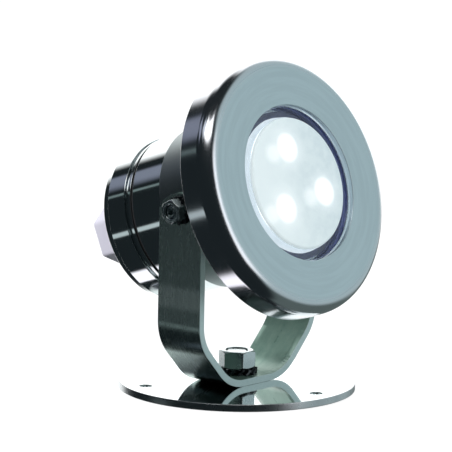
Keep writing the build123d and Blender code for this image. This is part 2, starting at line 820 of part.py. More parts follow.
with BuildPart() as cable_terminal:
    with BuildSketch(lamp_plane((0, 0), driver_rear, -1)):
        Rectangle(terminal_size[0], terminal_size[1])
    extrude(amount=terminal_size[2])
    with BuildSketch(lamp_plane((0, 0), driver_rear - terminal_size[2], -1)):
        with GridLocations(terminal_size[0] / 2, 0, 2, 1):
            Circle(terminal_hole / 2)
    extrude(amount=-terminal_size[2] / 2, mode=Mode.SUBTRACT)
save(cable_terminal.part, "cable_terminal")

# Cable gland, from the cap outwards

half_corner = 30          # turns a hexagon from corner to flat
gland_hole = gland_thread / 2
socket_radius = gland_socket / 2
claw_outside = socket_radius - slip_gap
claw_inside = claw_outside - claw_wall

save(ring(lamp.offset(gland_flange_front), gland_washer_diameter / 2, gland_hole + slip_gap,
          gland_washer_thickness), "gland_washer")

with BuildPart() as gland_body:
    with BuildSketch(lamp.offset(gland_flange_rear)):
        RegularPolygon(radius=gland_flats / 2, side_count=6, major_radius=False,
                       rotation=gland_turn + half_corner)
    extrude(amount=gland_flange_height)
    with BuildSketch(lamp.offset(gland_neck_end)):
        Circle(gland_hole)
    extrude(amount=gland_inner_end - gland_neck_end)
    with BuildSketch(lamp.offset(gland_neck_end)):
        Circle(gland_bore / 2)
    extrude(amount=gland_inner_end - gland_neck_end, mode=Mode.SUBTRACT)
    with BuildSketch(lamp.offset(gland_neck_end)):
        Circle(socket_radius)
    extrude(amount=socket_floor - gland_neck_end, mode=Mode.SUBTRACT)
save(gland_body.part, "gland_body")

save(hex_nut(lamp.offset(cap_floor), gland_lock_nut_flats, gland_lock_nut_height, gland_hole, 0),
     "gland_lock_nut")

with BuildPart() as gland_claw:
    with BuildSketch(lamp.offset(claw_end)):
        Circle(claw_outside)
        Circle(claw_inside, mode=Mode.SUBTRACT)
    extrude(amount=claw_length)
    with BuildSketch(lamp.offset(claw_end)):
        with PolarLocations(claw_outside, claw_slot_count):
            Rectangle(4 * claw_wall, claw_slot)
    extrude(amount=claw_length / 2, mode=Mode.SUBTRACT)
save(gland_claw.part, "gland_claw")

save(ring(lamp.offset(socket_floor - seal_length), claw_inside - slip_gap, seal_bore / 2,
          seal_length), "gland_seal")

with BuildPart() as gland_nut:
    with BuildSketch(lamp.offset(gland_nut_rear)):
        RegularPolygon(radius=gland_flats / 2, side_count=6, major_radius=False,
                       rotation=gland_turn + half_corner)
    extrude(amount=gland_nut_height)
    chamfer(gland_nut.faces().sort_by(lamp_axis)[0].edges(), length=gland_edge)
    with BuildSketch(lamp.offset(gland_nut_rear)):
        Circle(gland_nut_bore / 2)
    extrude(amount=gland_nut_height, mode=Mode.SUBTRACT)
    with BuildSketch(lamp.offset(gland_nut_front)):
        Circle(gland_hole + slip_gap)
    extrude(amount=-(gland_nut_front - claw_end + seat_gap), mode=Mode.SUBTRACT)
save(gland_nut.part, "gland_nut")
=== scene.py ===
import json
import math
import bmesh
import bpy
from mathutils import Matrix, Vector


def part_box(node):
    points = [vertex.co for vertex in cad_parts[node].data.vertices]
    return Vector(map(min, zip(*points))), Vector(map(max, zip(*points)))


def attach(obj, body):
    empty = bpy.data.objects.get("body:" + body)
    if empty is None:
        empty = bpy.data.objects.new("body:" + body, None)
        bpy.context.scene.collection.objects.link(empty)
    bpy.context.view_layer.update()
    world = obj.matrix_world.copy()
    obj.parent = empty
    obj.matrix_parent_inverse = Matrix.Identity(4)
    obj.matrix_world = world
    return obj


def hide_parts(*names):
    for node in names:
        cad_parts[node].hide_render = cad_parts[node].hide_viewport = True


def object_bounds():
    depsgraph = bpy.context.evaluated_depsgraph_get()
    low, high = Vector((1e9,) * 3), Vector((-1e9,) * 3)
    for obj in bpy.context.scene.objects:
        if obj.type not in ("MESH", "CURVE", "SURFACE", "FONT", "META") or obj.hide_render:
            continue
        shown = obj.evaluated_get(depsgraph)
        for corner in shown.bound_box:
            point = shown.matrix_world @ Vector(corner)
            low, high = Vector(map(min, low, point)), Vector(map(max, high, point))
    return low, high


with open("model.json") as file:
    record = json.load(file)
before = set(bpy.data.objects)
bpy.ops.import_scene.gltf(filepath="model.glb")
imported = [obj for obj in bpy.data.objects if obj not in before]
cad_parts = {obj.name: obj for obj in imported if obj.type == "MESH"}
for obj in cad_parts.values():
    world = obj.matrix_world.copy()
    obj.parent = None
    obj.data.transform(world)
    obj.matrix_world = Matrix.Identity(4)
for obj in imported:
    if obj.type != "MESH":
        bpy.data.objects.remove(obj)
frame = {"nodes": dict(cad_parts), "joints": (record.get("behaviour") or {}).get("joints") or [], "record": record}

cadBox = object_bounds()
mm = 0.001

print("underwater pond light: frame loaded")


# The lamp's own frame: z looks along the beam, y is its upper side, the pivot is the origin
joints = {joint["name"]: joint for joint in frame["joints"]}
mounts = {mount["name"]: mount for mount in frame["record"]["mounts"]}
pivot = Vector(joints["head_tilt"]["pos_m"])
beam = -Vector(mounts["cable_entry"]["axis"]).normalized()
lampTurn = math.pi / 2 - math.asin(beam.z)
lamp = Matrix.Translation(pivot) @ Matrix.Rotation(lampTurn, 4, "X")
upright = Matrix.Identity(4)


def sideways(side):
    # z points out of one side of the bracket, x points up
    turn = Matrix(((0, 0, side), (0, -side, 0), (1, 0, 0))).to_4x4()
    return Matrix.Translation(pivot) @ turn


def corners(node):
    return [vertex.co.copy() for vertex in frame["nodes"][node].data.vertices]


def span(node, place=lamp):
    # lowest and highest place along z, and the largest radius about z
    inside = place.inverted()
    points = [inside @ corner for corner in corners(node)]
    heights = [point.z for point in points]
    return min(heights), max(heights), max(point.xy.length for point in points)


class Wire:
    # a shader value that can be used in ordinary sums
    def __init__(self, paint, socket):
        self.paint = paint
        self.socket = socket

    def sum(self, operation, first, second):
        return self.paint.sumOf(operation, first, second)

    def __add__(self, other):
        return self.sum("ADD", self, other)

    def __radd__(self, other):
        return self.sum("ADD", other, self)

    def __sub__(self, other):
        return self.sum("SUBTRACT", self, other)

    def __rsub__(self, other):
        return self.sum("SUBTRACT", other, self)

    def __mul__(self, other):
        return self.sum("MULTIPLY", self, other)

    def __rmul__(self, other):
        return self.sum("MULTIPLY", other, self)

    def __truediv__(self, other):
        return self.sum("DIVIDE", self, other)


class Paint:
    # a node tree being painted
    def __init__(self, tree):
        self.tree = tree
        tree.nodes.clear()

    def node(self, kind, settings=None, sockets=None, output=0):
        # adds a node: its settings first, then numbers or links for its sockets
        made = self.tree.nodes.new(kind)
        for name, value in (settings or {}).items():
            setattr(made, name, value)
        for name, value in (sockets or {}).items():
            if isinstance(value, Wire):
                self.tree.links.new(value.socket, made.inputs[name])
            else:
                made.inputs[name].default_value = value
        return Wire(self, made.outputs[output]) if len(made.outputs) else None

    def split(self, vector):
        return [self.node("ShaderNodeSeparateXYZ", {}, {0: vector}, axis) for axis in range(3)]

    def join(self, x, y, z):
        return self.node("ShaderNodeCombineXYZ", {}, {0: x, 1: y, 2: z})

    def ease(self, value, low, high):
        # 0 below low, 1 above high, with a soft step between
        settings = {"interpolation_type": "SMOOTHSTEP"}
        return self.node("ShaderNodeMapRange", settings, {0: value, 1: low, 2: high, 3: 0, 4: 1})

    def within(self, value, reach, soft):
        # 1 while the value is nearer to 0 than reach, with a soft edge outside it
        return 1 - self.ease(self.sumOf("ABSOLUTE", value), reach, reach + soft)

    def sumOf(self, operation, *values):
        return self.node("ShaderNodeMath", {"operation": operation}, dict(enumerate(values)))

    def away(self, x, y):
        # distance from 0 in a plane
        return self.sumOf("SQRT", x * x + y * y)

    def clamp(self, value):
        return self.node("ShaderNodeClamp", {}, {0: value})

    def blend(self, mask, first, second):
        # colours, first where the mask is 0
        settings = {"data_type": "RGBA", "blend_type": "MIX"}
        return self.node("ShaderNodeMix", settings, {0: mask, 6: first, 7: second}, 2)

    def noise(self, vector, scale, detail=3, rough=0.5):
        sockets = {"Vector": vector, "Scale": scale, "Detail": detail, "Roughness": rough}
        return self.node("ShaderNodeTexNoise", {"noise_dimensions": "3D"}, sockets)

    def place(self):
        # the place on the piece at rest, in the row frame
        return self.node("ShaderNodeTexCoord", {}, {}, 3)

    def lampPlace(self):
        # the same place in the lamp's own frame
        sockets = {0: self.place(), 1: tuple(pivot), 2: (lampTurn, 0, 0)}
        return self.node("ShaderNodeMapping", {"vector_type": "TEXTURE"}, sockets)

    def bump(self, height, strength, distance):
        return self.node("ShaderNodeBump", {}, {"Height": height, "Strength": strength,
                                                "Distance": distance})

    def surface(self, **sockets):
        shader = self.node("ShaderNodeBsdfPrincipled", {}, {
            name.replace("_", " "): value for name, value in sockets.items()})
        self.node("ShaderNodeOutputMaterial", {}, {"Surface": shader})
        return shader


def rgb(red, green, blue, alpha=1):
    return (red, green, blue, alpha)


finishes = {}


def finish(name):
    # starts a named material; CAD nodes whose slot has its name take it at the end
    material = bpy.data.materials.new(name)
    material.use_nodes = True
    finishes[name] = material
    return Paint(material.node_tree)


polishLook = {
    "colour": rgb(0.60, 0.64, 0.645), "roughness": 0.06, "streaks": 0.05,
    "groundAndShade": rgb(0.34, 0.385, 0.39),    # the housing's shoulder, ground dull, its darker colour partly painted shade
    "groundRoughness": 0.40,
    "groundRear": -11.9 * mm,
    "groundFront": 17.0 * mm,
}


def turnedPolish(name, look):
    # polished on a lathe: faint rings about the lamp's axis, with a little haze
    paint = finish(name)
    place = paint.lampPlace()
    x, y, z = paint.split(place)
    rings = paint.noise(paint.join(x * 12, y * 12, z * 2600), 1, 3)
    haze = paint.noise(place, 90, 4)
    rough = look["roughness"] + look["streaks"] * rings * haze
    hazy = tuple(0.93 * part for part in look["colour"][:3]) + (1,)
    colour = paint.blend(haze, look["colour"], hazy)
    middle = (look["groundFront"] + look["groundRear"]) / 2
    # the ground band: a real duller finish, with painted shade in its darker colour
    groundAndShade = paint.within(z - middle, look["groundFront"] - middle, 0.05 * mm)
    colour = paint.blend(groundAndShade, colour, look["groundAndShade"])
    rough = rough + groundAndShade * (look["groundRoughness"] + 0.1 * haze - rough)
    paint.surface(Base_Color=colour, Metallic=1.0, Roughness=rough,
                  Normal=paint.bump(rings, 0.05, 0.02 * mm))


turnedPolish("polished_steel", polishLook)

plateLook = {"colour": rgb(0.70, 0.745, 0.745), "rim": rgb(0.17, 0.19, 0.21), "roughness": 0.035,
             "rimStart": 0.45 * mm, "rimEnd": 0.15 * mm}     # in from the plate's edge


def platePolish(look):
    # mirror-polished sheet with a brushed rim, darkened with painted shade
    paint = finish("plate_steel")
    place = paint.place()
    x, y, z = paint.split(place)
    angle = paint.sumOf("ARCTAN2", y, x)
    radius = paint.away(x, y)
    rim = paint.ease(radius, plateRadius - look["rimStart"], plateRadius - look["rimEnd"])
    streaks = paint.noise(paint.join(angle * 34, 0, z * 300), 1, 4, 0.7)
    bands = paint.noise(paint.join(angle * 5, 2, 0), 1, 2)
    haze = paint.noise(place, 45, 4)
    rough = look["roughness"] + 0.05 * haze * (1 - rim) + rim * (0.16 + 0.2 * streaks)
    # the rim's dark colour: brushed streaks, with painted shade
    shade = rim * (0.35 + 0.5 * streaks * bands)
    colour = paint.blend(shade, look["colour"], look["rim"])
    paint.surface(Base_Color=colour, Metallic=1.0, Roughness=rough,
                  Normal=paint.bump(streaks * rim, 0.12, 0.1 * mm))


bezelLook = {
    "colour": rgb(0.51, 0.605, 0.635),
    "brighter": rgb(0.545, 0.645, 0.675),
    "edgeColour": rgb(0.60, 0.62, 0.645),
    "faceRoughness": 0.33,
    "edgeRoughness": 0.12,
    "faceReach": 41.5 * mm,      # radius where the brushed face starts to fade into the polished edge
    "faceFade": 5.2 * mm,
    "faceDepth": 4.5 * mm,       # behind the face, where the brushing has gone
}


def bezelSteel(look):
    # a face brushed in circles, and an edge turned and polished
    paint = finish("bezel_steel")
    place = paint.lampPlace()
    x, y, z = paint.split(place)
    radius = paint.away(x, y)
    front = span("bezel")[1]
    face = paint.ease(z, front - look["faceDepth"], front - 0.1 * mm)
    face = face * (1 - paint.ease(radius, look["faceReach"], look["faceReach"] + look["faceFade"]))
    fine = paint.noise(paint.join(radius * 5200, x / radius * 5, y / radius * 5), 1, 2, 0.7)
    broad = paint.noise(paint.join(radius * 620, x / radius * 1.6, y / radius * 1.6), 1, 3, 0.6)
    turned = paint.noise(paint.join(x * 14, y * 14, z * 2400), 1, 3)
    blotch = paint.noise(place, 26, 3)
    brushed = 0.5 * fine + 0.5 * broad
    rough = face * (look["faceRoughness"] - 0.06 + 0.12 * brushed)
    rough = rough + (1 - face) * (look["edgeRoughness"] + 0.06 * turned * blotch)
    faceColour = paint.blend(paint.ease(broad, 0.36, 0.64), look["colour"], look["brighter"])
    colour = paint.blend(face, look["edgeColour"], faceColour)
    height = face * brushed + (1 - face) * 0.25 * turned
    paint.surface(Base_Color=colour, Metallic=1.0, Roughness=rough,
                  Normal=paint.bump(height, 0.22, 0.03 * mm))


bezelSteel(bezelLook)

# The bar's outer faces: their dark colour is partly painted shade. Below, a paler, part-diffuse copy for the
# inward faces, which is painted light
barLook = {"colour": rgb(0.33, 0.415, 0.39), "light": rgb(0.50, 0.56, 0.545), "roughness": 0.27,
           "edge": rgb(0.42, 0.53, 0.52), "sawn": rgb(0.62, 0.70, 0.69), "metallic": 1.0,
           "paintedHighlight": rgb(0.75, 0.84, 0.80), "paintedHighlightHeight": 37.5 * mm, "paintedHighlightReach": 2.4 * mm}
barPaintedLightLook = {**barLook, "colour": rgb(0.15, 0.27, 0.22), "light": rgb(0.56, 0.74, 0.65),
                 "roughness": 0.30, "metallic": 0.4}


def barSteel(name, look):
    # flat bar with its mill grain along the length, paler sawn edges, and a painted highlight band across the arms
    # at one height
    paint = finish(name)
    place = paint.place()
    x, y, z = paint.split(place)
    grain = paint.noise(paint.join(x * 60, y * 3600, z * 60), 1, 4, 0.7)
    wide = paint.noise(paint.join(x * 25, y * 420, z * 25), 1, 3, 0.6)
    mottle = paint.noise(place, 330, 5, 0.7)
    cut = paint.ease(paint.sumOf("ABSOLUTE", y), barHalf - 0.3 * mm, barHalf - 0.05 * mm)
    sawn = paint.noise(paint.join(x * 800, y * 200, z * 2200), 1, 3)
    rough = look["roughness"] - 0.08 + 0.16 * grain * wide + 0.06 * mottle + cut * 0.1
    colour = paint.blend(0.7 * wide * mottle, look["colour"], look["light"])
    # painted highlight: a paler band at one height on the arms, standing in for a reflection
    paintedHighlight = paint.within(z - look["paintedHighlightHeight"], look["paintedHighlightReach"], 3.0 * mm) * (0.5 + 0.5 * wide)
    colour = paint.blend(paintedHighlight, colour, look["paintedHighlight"])
    colour = paint.blend(cut, colour, paint.blend(sawn, look["edge"], look["sawn"]))
    height = (1 - cut) * (0.7 * grain + 0.3 * mottle) + cut * sawn
    paint.surface(Base_Color=colour, Metallic=look["metallic"], Roughness=rough,
                  Normal=paint.bump(height, 0.25, 0.04 * mm))


def plainSteel(name, colour, darker, roughness):
    # small turned and cold-formed fasteners: fine scratches and a few handling marks
    paint = finish(name)
    place = paint.place()
    scratch = paint.noise(place, 2600, 3, 0.6)
    marks = paint.noise(place, 420, 4, 0.65)
    rough = roughness - 0.04 + 0.14 * marks + 0.05 * scratch
    paint.surface(Base_Color=paint.blend(marks, colour, darker), Metallic=1.0, Roughness=rough,
                  Normal=paint.bump(0.5 * scratch + 0.5 * marks, 0.12, 0.05 * mm))


# Colour, darker marks and roughness
plainSteels = {
    "fastener_steel": (rgb(0.60, 0.66, 0.66), rgb(0.46, 0.52, 0.53), 0.2),
    "spring_steel": (rgb(0.10, 0.11, 0.115), rgb(0.04, 0.045, 0.05), 0.27),
    "post_brass": (rgb(0.80, 0.62, 0.28), rgb(0.66, 0.48, 0.2), 0.24),
}
for name, look in plainSteels.items():
    plainSteel(name, *look)


sinkLook = {"colour": rgb(0.80, 0.81, 0.82), "stain": rgb(0.66, 0.67, 0.69), "roughness": 0.28}


def machinedAluminium(look):
    paint = finish("heat_sink_aluminium")
    place = paint.lampPlace()
    x, y, z = paint.split(place)
    lines = paint.noise(paint.join(x * 300, y * 300, z * 3000), 1, 3)
    stain = paint.noise(place, 60, 4)
    paint.surface(Base_Color=paint.blend(stain, look["colour"], look["stain"]),
                  Metallic=1.0, Roughness=look["roughness"] + 0.14 * lines,
                  Normal=paint.bump(lines, 0.2, 0.04 * mm))


machinedAluminium(sinkLook)


def moulded(name, colour, tone, roughness, grain, depth):
    # a moulded surface: fine spark-eroded grain and a slow change of tone
    paint = finish(name)
    place = paint.place()
    pores = paint.noise(place, grain, 3, 0.6)
    slow = paint.noise(place, 55, 4)
    paint.surface(Base_Color=paint.blend(slow, colour, tone), Metallic=0.0,
                  Roughness=roughness - 0.05 + 0.1 * pores,
                  Normal=paint.bump(pores, 0.2, depth))


# Colour, second tone, roughness, grain and its depth
plastics = {
    "black_plastic": (rgb(0.07, 0.08, 0.17), rgb(0.05, 0.06, 0.13), 0.42, 2400, 0.05 * mm),
    "gland_plastic": (rgb(0.70, 0.685, 0.775), rgb(0.62, 0.61, 0.71), 0.45, 1800, 0.06 * mm),
    "white_nylon": (rgb(0.83, 0.83, 0.79), rgb(0.75, 0.75, 0.70), 0.40, 1500, 0.05 * mm),
    "seal_rubber": (rgb(0.018, 0.018, 0.02), rgb(0.03, 0.03, 0.032), 0.55, 1600, 0.08 * mm),
    "blue_silicone": (rgb(0.20, 0.235, 0.56), rgb(0.16, 0.19, 0.46), 0.5, 1600, 0.08 * mm),
    "pad_grey": (rgb(0.42, 0.44, 0.47), rgb(0.5, 0.52, 0.55), 0.75, 900, 0.12 * mm),
    "component_black": (rgb(0.03, 0.03, 0.032), rgb(0.05, 0.05, 0.052), 0.5, 1900, 0.06 * mm),
    "terminal_green": (rgb(0.05, 0.27, 0.11), rgb(0.035, 0.21, 0.085), 0.4, 1500, 0.05 * mm),
    "lead_insulation": (rgb(0.62, 0.06, 0.045), rgb(0.5, 0.045, 0.035), 0.38, 1300, 0.04 * mm),
}
for name, look in plastics.items():
    moulded(name, *look)


def boardFace(name, mask, track, trackWidth):
    # solder mask with the copper tracks showing faintly through
    paint = finish(name)
    place = paint.lampPlace()
    x, y = paint.split(place)[:2]
    settings = {"feature": "DISTANCE_TO_EDGE", "distance": "MANHATTAN"}
    cells = paint.node("ShaderNodeTexVoronoi", settings,
                       {"Vector": paint.join(x, y, 0), "Scale": 240})
    tracks = 1 - paint.ease(cells, trackWidth, trackWidth * 1.6)
    weave = paint.noise(place, 1900, 2)
    paint.surface(Base_Color=paint.blend(tracks, mask, track), Metallic=0.0,
                  Roughness=0.3 + 0.12 * weave,
                  Normal=paint.bump(0.7 * tracks + 0.3 * weave, 0.3, 0.03 * mm))


# Solder mask, tracks and their width
boards = {
    "driver_laminate": (rgb(0.02, 0.16, 0.06), rgb(0.04, 0.26, 0.10), 0.12),
    "board": (rgb(0.84, 0.85, 0.84), rgb(0.74, 0.76, 0.75), 0.09),
}
for name, look in boards.items():
    boardFace(name, *look)


glowLook = {
    "emitters": 3,
    "emitterReach": 13.3 * mm,           # from the lamp's axis
    "firstEmitter": math.radians(98.8),
    "base": rgb(0.30, 0.33, 0.34),      # the satin itself, unlit
    "field": rgb(0.37, 0.46, 0.49),     # light scattered evenly through the satin face
    "fieldLeft": rgb(0.53, 0.61, 0.625),
    "leftStart": -20 * mm,              # across the face, where the painted brighter light on the left starts to fade
    "leftEnd": 18 * mm,
    "ripple": rgb(0.56, 0.645, 0.65),
    "spot": rgb(1.35, 1.38, 1.40),
    "halo": rgb(0.92, 0.97, 0.98),
    "spotRadius": 2.2 * mm,
    "spotSoft": 4.0 * mm,
    "haloRadius": 11.0 * mm,
    "ghostShift": (-8.6 * mm, -1.2 * mm),
    "ghostRadius": 1.4 * mm,
    "ghostSoft": 3.6 * mm,
}


def satinGlow(look):
    # the satin face of the glass, its glow painted on: spots, halos, ghost reflections and a brighter left side
    # stand in for the light of three emitters behind it
    paint = finish("satin_glass")
    place = paint.lampPlace()
    x, y = paint.split(place)[:2]
    spots = 0.0
    halos = 0.0
    ghosts = 0.0
    spotEdge, ghostEdge = look["spotRadius"], look["ghostRadius"]
    ghostX, ghostY = look["ghostShift"]
    for number in range(look["emitters"]):
        turn = look["firstEmitter"] + number * math.tau / look["emitters"]
        ledX = look["emitterReach"] * math.cos(turn)
        ledY = look["emitterReach"] * math.sin(turn)
        reach = paint.away(x - ledX, y - ledY)
        spots = (1 - paint.ease(reach, spotEdge, spotEdge + look["spotSoft"])) + spots
        halos = (1 - paint.ease(reach, 0, look["haloRadius"])) + halos
        reach = paint.away(x - (ledX + ghostX), y - (ledY + ghostY))
        ghosts = (1 - paint.ease(reach, ghostEdge, ghostEdge + look["ghostSoft"])) + ghosts
    ripple = paint.noise(place, 210, 3, 0.6)
    grain = paint.noise(place, 3800, 2)
    left = 1 - paint.ease(x, look["leftStart"], look["leftEnd"])
    field = paint.blend(left, look["field"], look["fieldLeft"])
    field = paint.blend(0.35 * paint.ease(ripple, 0.35, 0.65), field, look["ripple"])
    light = paint.blend(paint.clamp(0.5 * halos + 0.4 * ghosts), field, look["halo"])
    light = paint.blend(paint.clamp(spots), light, look["spot"])
    paint.surface(Base_Color=look["base"], Roughness=0.32 + 0.08 * grain, IOR=1.45,
                  Emission_Color=light, Emission_Strength=1.0,
                  Normal=paint.bump(grain, 0.15, 0.02 * mm))


satinGlow(glowLook)


glassLook = {"colour": rgb(0.90, 0.93, 1.0), "roughness": 0.0, "ripple": 0.05 * mm}


def clearGlass(look):
    # polished glass with the faintest ripple
    paint = finish("front_glass")
    wave = paint.noise(paint.place(), 60, 2)
    paint.surface(Base_Color=look["colour"], Roughness=look["roughness"], IOR=1.47,
                  Transmission_Weight=1.0, Normal=paint.bump(wave, 0.1, look["ripple"]))


clearGlass(glassLook)


lensLook = {"base": rgb(0.20, 0.22, 0.23), "light": rgb(0.70, 0.78, 0.79),
            "rimLight": rgb(0.78, 0.84, 0.84), "shade": rgb(0.42, 0.50, 0.51),
            "rimStart": 23.4 * mm, "rimEnd": 24.6 * mm}


def litLens(look):
    # clear optic, filled with light from its emitters
    paint = finish("lens_plastic")
    x, y = paint.split(paint.lampPlace())[:2]
    rim = paint.ease(paint.away(x, y), look["rimStart"], look["rimEnd"])
    swirl = paint.noise(paint.place(), 260, 3)
    light = paint.blend(rim, look["light"], look["rimLight"])
    light = paint.blend(0.6 * swirl, light, look["shade"])
    paint.surface(Base_Color=look["base"], Roughness=0.12 + 0.06 * swirl, IOR=1.49,
                  Emission_Color=light, Emission_Strength=1.0,
                  Normal=paint.bump(swirl, 0.1, 0.1 * mm))


litLens(lensLook)


emitterLook = {"colour": rgb(0.95, 0.92, 0.7), "tone": rgb(0.9, 0.86, 0.6),
               "light": rgb(1, 0.99, 0.95), "strength": 6.0}


def emitter(look):
    paint = finish("led_package")
    grain = paint.noise(paint.place(), 2200, 2)
    paint.surface(Base_Color=paint.blend(grain, look["colour"], look["tone"]),
                  Roughness=0.2 + 0.1 * grain, Emission_Color=look["light"],
                  Emission_Strength=look["strength"])


emitter(emitterLook)


# How far edges are rounded
hairEdge = 0.08 * mm
fineEdge = 0.1 * mm
crispEdge = 0.15 * mm
smallEdge = 0.2 * mm
softEdge = 0.3 * mm
roundEdge = 0.4 * mm
wideEdge = 0.5 * mm


def roundCorner(before, here, after, rounding, steps):
    # the centre of a rounded corner, and its spokes from the side of before to the side of after
    before = (before - here).normalized()
    after = (after - here).normalized()
    half = before.angle(after) / 2
    centre = here + (before + after).normalized() * (rounding / math.sin(half))
    first = here + before * (rounding / math.tan(half)) - centre
    sweep = first.angle_signed(here + after * (rounding / math.tan(half)) - centre)
    spokes = []
    for step in range(steps + 1):
        part = -sweep * step / steps
        spokes.append(Vector((first.x * math.cos(part) - first.y * math.sin(part),
                              first.x * math.sin(part) + first.y * math.cos(part))))
    return centre, spokes


def filleted(outline, steps=5):
    # outline holds (radius, height, rounding); gives its points with each rounding drawn as an arc
    points = []
    places = [Vector(corner[:2]) for corner in outline]
    for number, here in enumerate(places):
        rounding = outline[number][2]
        if rounding == 0:
            points.append(here)
            continue
        after = places[(number + 1) % len(places)]
        centre, spokes = roundCorner(places[number - 1], here, after, rounding, steps)
        points += [centre + spoke for spoke in spokes]
    return points


def line(*places):
    # an outline of plain corners, each a radius and a height
    return [Vector(place) for place in places]


def turnedMesh(points, segments=192, closed=True, stretch=None):
    # turns an outline about z; stretch(angle, radius, height) may move each point
    mesh = bmesh.new()
    rings = []
    for point in points:
        ring = []
        for number in range(segments):
            angle = number * math.tau / segments
            radius, height = (stretch(angle, point.x, point.y) if stretch else (point.x, point.y))
            ring.append(mesh.verts.new((radius * math.cos(angle), radius * math.sin(angle), height)))
        rings.append(ring)
    last = len(rings) if closed else len(rings) - 1
    for number in range(last):
        lower, upper = rings[number], rings[(number + 1) % len(rings)]
        for side in range(segments):
            other = (side + 1) % segments
            mesh.faces.new((lower[side], lower[other], upper[other], upper[side]))
    bmesh.ops.remove_doubles(mesh, verts=mesh.verts, dist=1e-7)
    return mesh


def placed(mesh, matrix):
    bmesh.ops.transform(mesh, matrix=matrix, verts=mesh.verts)
    return mesh


def joined(meshes):
    # several bmeshes as one
    whole = bmesh.new()
    for mesh in meshes:
        spare = bpy.data.meshes.new("spare")
        mesh.to_mesh(spare)
        mesh.free()
        whole.from_mesh(spare)
        bpy.data.meshes.remove(spare)
    return whole


def settled(piece):
    # the piece's mesh with its modifiers worked out
    shown = piece.evaluated_get(bpy.context.evaluated_depsgraph_get())
    mesh = bpy.data.meshes.new_from_object(shown)
    piece.modifiers.clear()
    piece.data = mesh


def cut(piece, cutter):
    # takes the cutter's shape out of the piece
    spareMesh = bpy.data.meshes.new("cutter")
    bmesh.ops.recalc_face_normals(cutter, faces=cutter.faces)
    cutter.to_mesh(spareMesh)
    cutter.free()
    spare = bpy.data.objects.new("cutter", spareMesh)
    bpy.context.scene.collection.objects.link(spare)
    knife = piece.modifiers.new("cut", "BOOLEAN")
    knife.operation = "DIFFERENCE"
    knife.solver = "EXACT"
    knife.object = spare
    bpy.context.view_layer.update()
    settled(piece)
    bpy.data.objects.remove(spare)


def rodMesh(radius, low, high, segments=48, matrix=upright):
    points = line((0, low), (radius, low), (radius, high), (0, high))
    return placed(turnedMesh(points, segments, closed=False), matrix)


def newPiece(name, mesh, body, slot, nodes, finishName=None, cutters=(), edge=0, sharp=32):
    # links a piece, rounds its edges, and sets it on its body in place of its CAD nodes
    bmesh.ops.recalc_face_normals(mesh, faces=mesh.faces)
    data = bpy.data.meshes.new(name)
    mesh.to_mesh(data)
    mesh.free()
    piece = bpy.data.objects.new(name, data)
    bpy.context.scene.collection.objects.link(piece)
    for cutter in cutters:
        cut(piece, cutter)
    if edge:
        rounding = piece.modifiers.new("edges", "BEVEL")
        rounding.width = edge
        rounding.segments = 2
        rounding.limit_method = "ANGLE"
        rounding.angle_limit = math.radians(sharp)
        rounding.miter_outer = "MITER_ARC"
        settled(piece)
    for face in piece.data.polygons:
        face.use_smooth = True
    piece.data.set_sharp_from_angle(angle=math.radians(50))
    weights = piece.modifiers.new("flat faces stay flat", "WEIGHTED_NORMAL")
    weights.mode = "FACE_AREA_WITH_ANGLE"
    weights.weight = 50
    weights.keep_sharp = True
    settled(piece)
    piece.data.materials.clear()
    piece.data.materials.append(finishes[finishName or slot])
    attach(piece, body)
    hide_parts(*nodes)
    return piece


def hexReach(flats, turn):
    # distance from the middle of a hexagon to its side, at an angle
    def reach(angle):
        sixth = (angle - turn) % (math.pi / 3) - math.pi / 6
        return flats / 2 / math.cos(sixth)
    return reach


def nutMesh(look, low, high, matrix):
    # a hexagon nut with a countersunk, threaded bore; its corners are turned off at 30 degrees at
    # both ends of the stud's nut, and at the outer end of the pivots' nuts
    reach = hexReach(look["flats"], look["turn"])
    face = look["flats"] / 2 * look["faceShare"]
    bore = look["bore"]
    sink = look["countersink"]
    slope = math.tan(math.radians(30))
    points = line((bore, low + sink), (bore + sink, low), (face, low), (1, low),
                  (1, high), (face, high), (bore + sink, high), (bore, high - sink))
    threads = round((high - low - 2 * sink) / look["pitch"])
    for number in range(2 * threads - 1):
        deep = look["threadDepth"] if number % 2 == 0 else 0
        points.append(Vector((bore + deep, high - sink - (number + 1) * look["pitch"] / 2)))

    def hexagon(angle, radius, height):
        if radius < 1:
            return radius, height
        drop = (reach(angle) - face) * slope
        return reach(angle), height + drop if height == low else height - drop

    return placed(turnedMesh(points, 72, stretch=hexagon), matrix)


def threadMesh(radius, depth, pitch, low, high, matrix, chamfer, steps=8, segments=48):
    # a real screw thread: the radius follows the helix, and the ends are chamfered
    count = max(2, round((high - low) / pitch * steps))
    points = [Vector((0, low))]
    points += [Vector((radius, low + (high - low) * number / count)) for number in range(count + 1)]
    points.append(Vector((0, high)))

    def helix(angle, reach, height):
        if reach == 0:
            return 0, height
        turn = (height / pitch - angle / math.tau) % 1
        groove = depth * abs(2 * turn - 1)
        limit = min(radius, radius - chamfer + min(height - low, high - height))
        return min(radius - groove, limit), height

    return placed(turnedMesh(points, segments, closed=False, stretch=helix), matrix)


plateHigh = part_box("base_plate")[1]
plateRadius = plateHigh.x
fixings = mounts["base_holes"]["dims"]
plateShape = {
    "edge": 0.3 * mm,
    "holeEdge": 0.08 * mm,
    "firstHole": math.radians(33.6),
    "studHole": 4.0 * mm,
    "studHead": 5.5 * mm,
    "studHeadDepth": 1.6 * mm,
}
platePolish(plateLook)


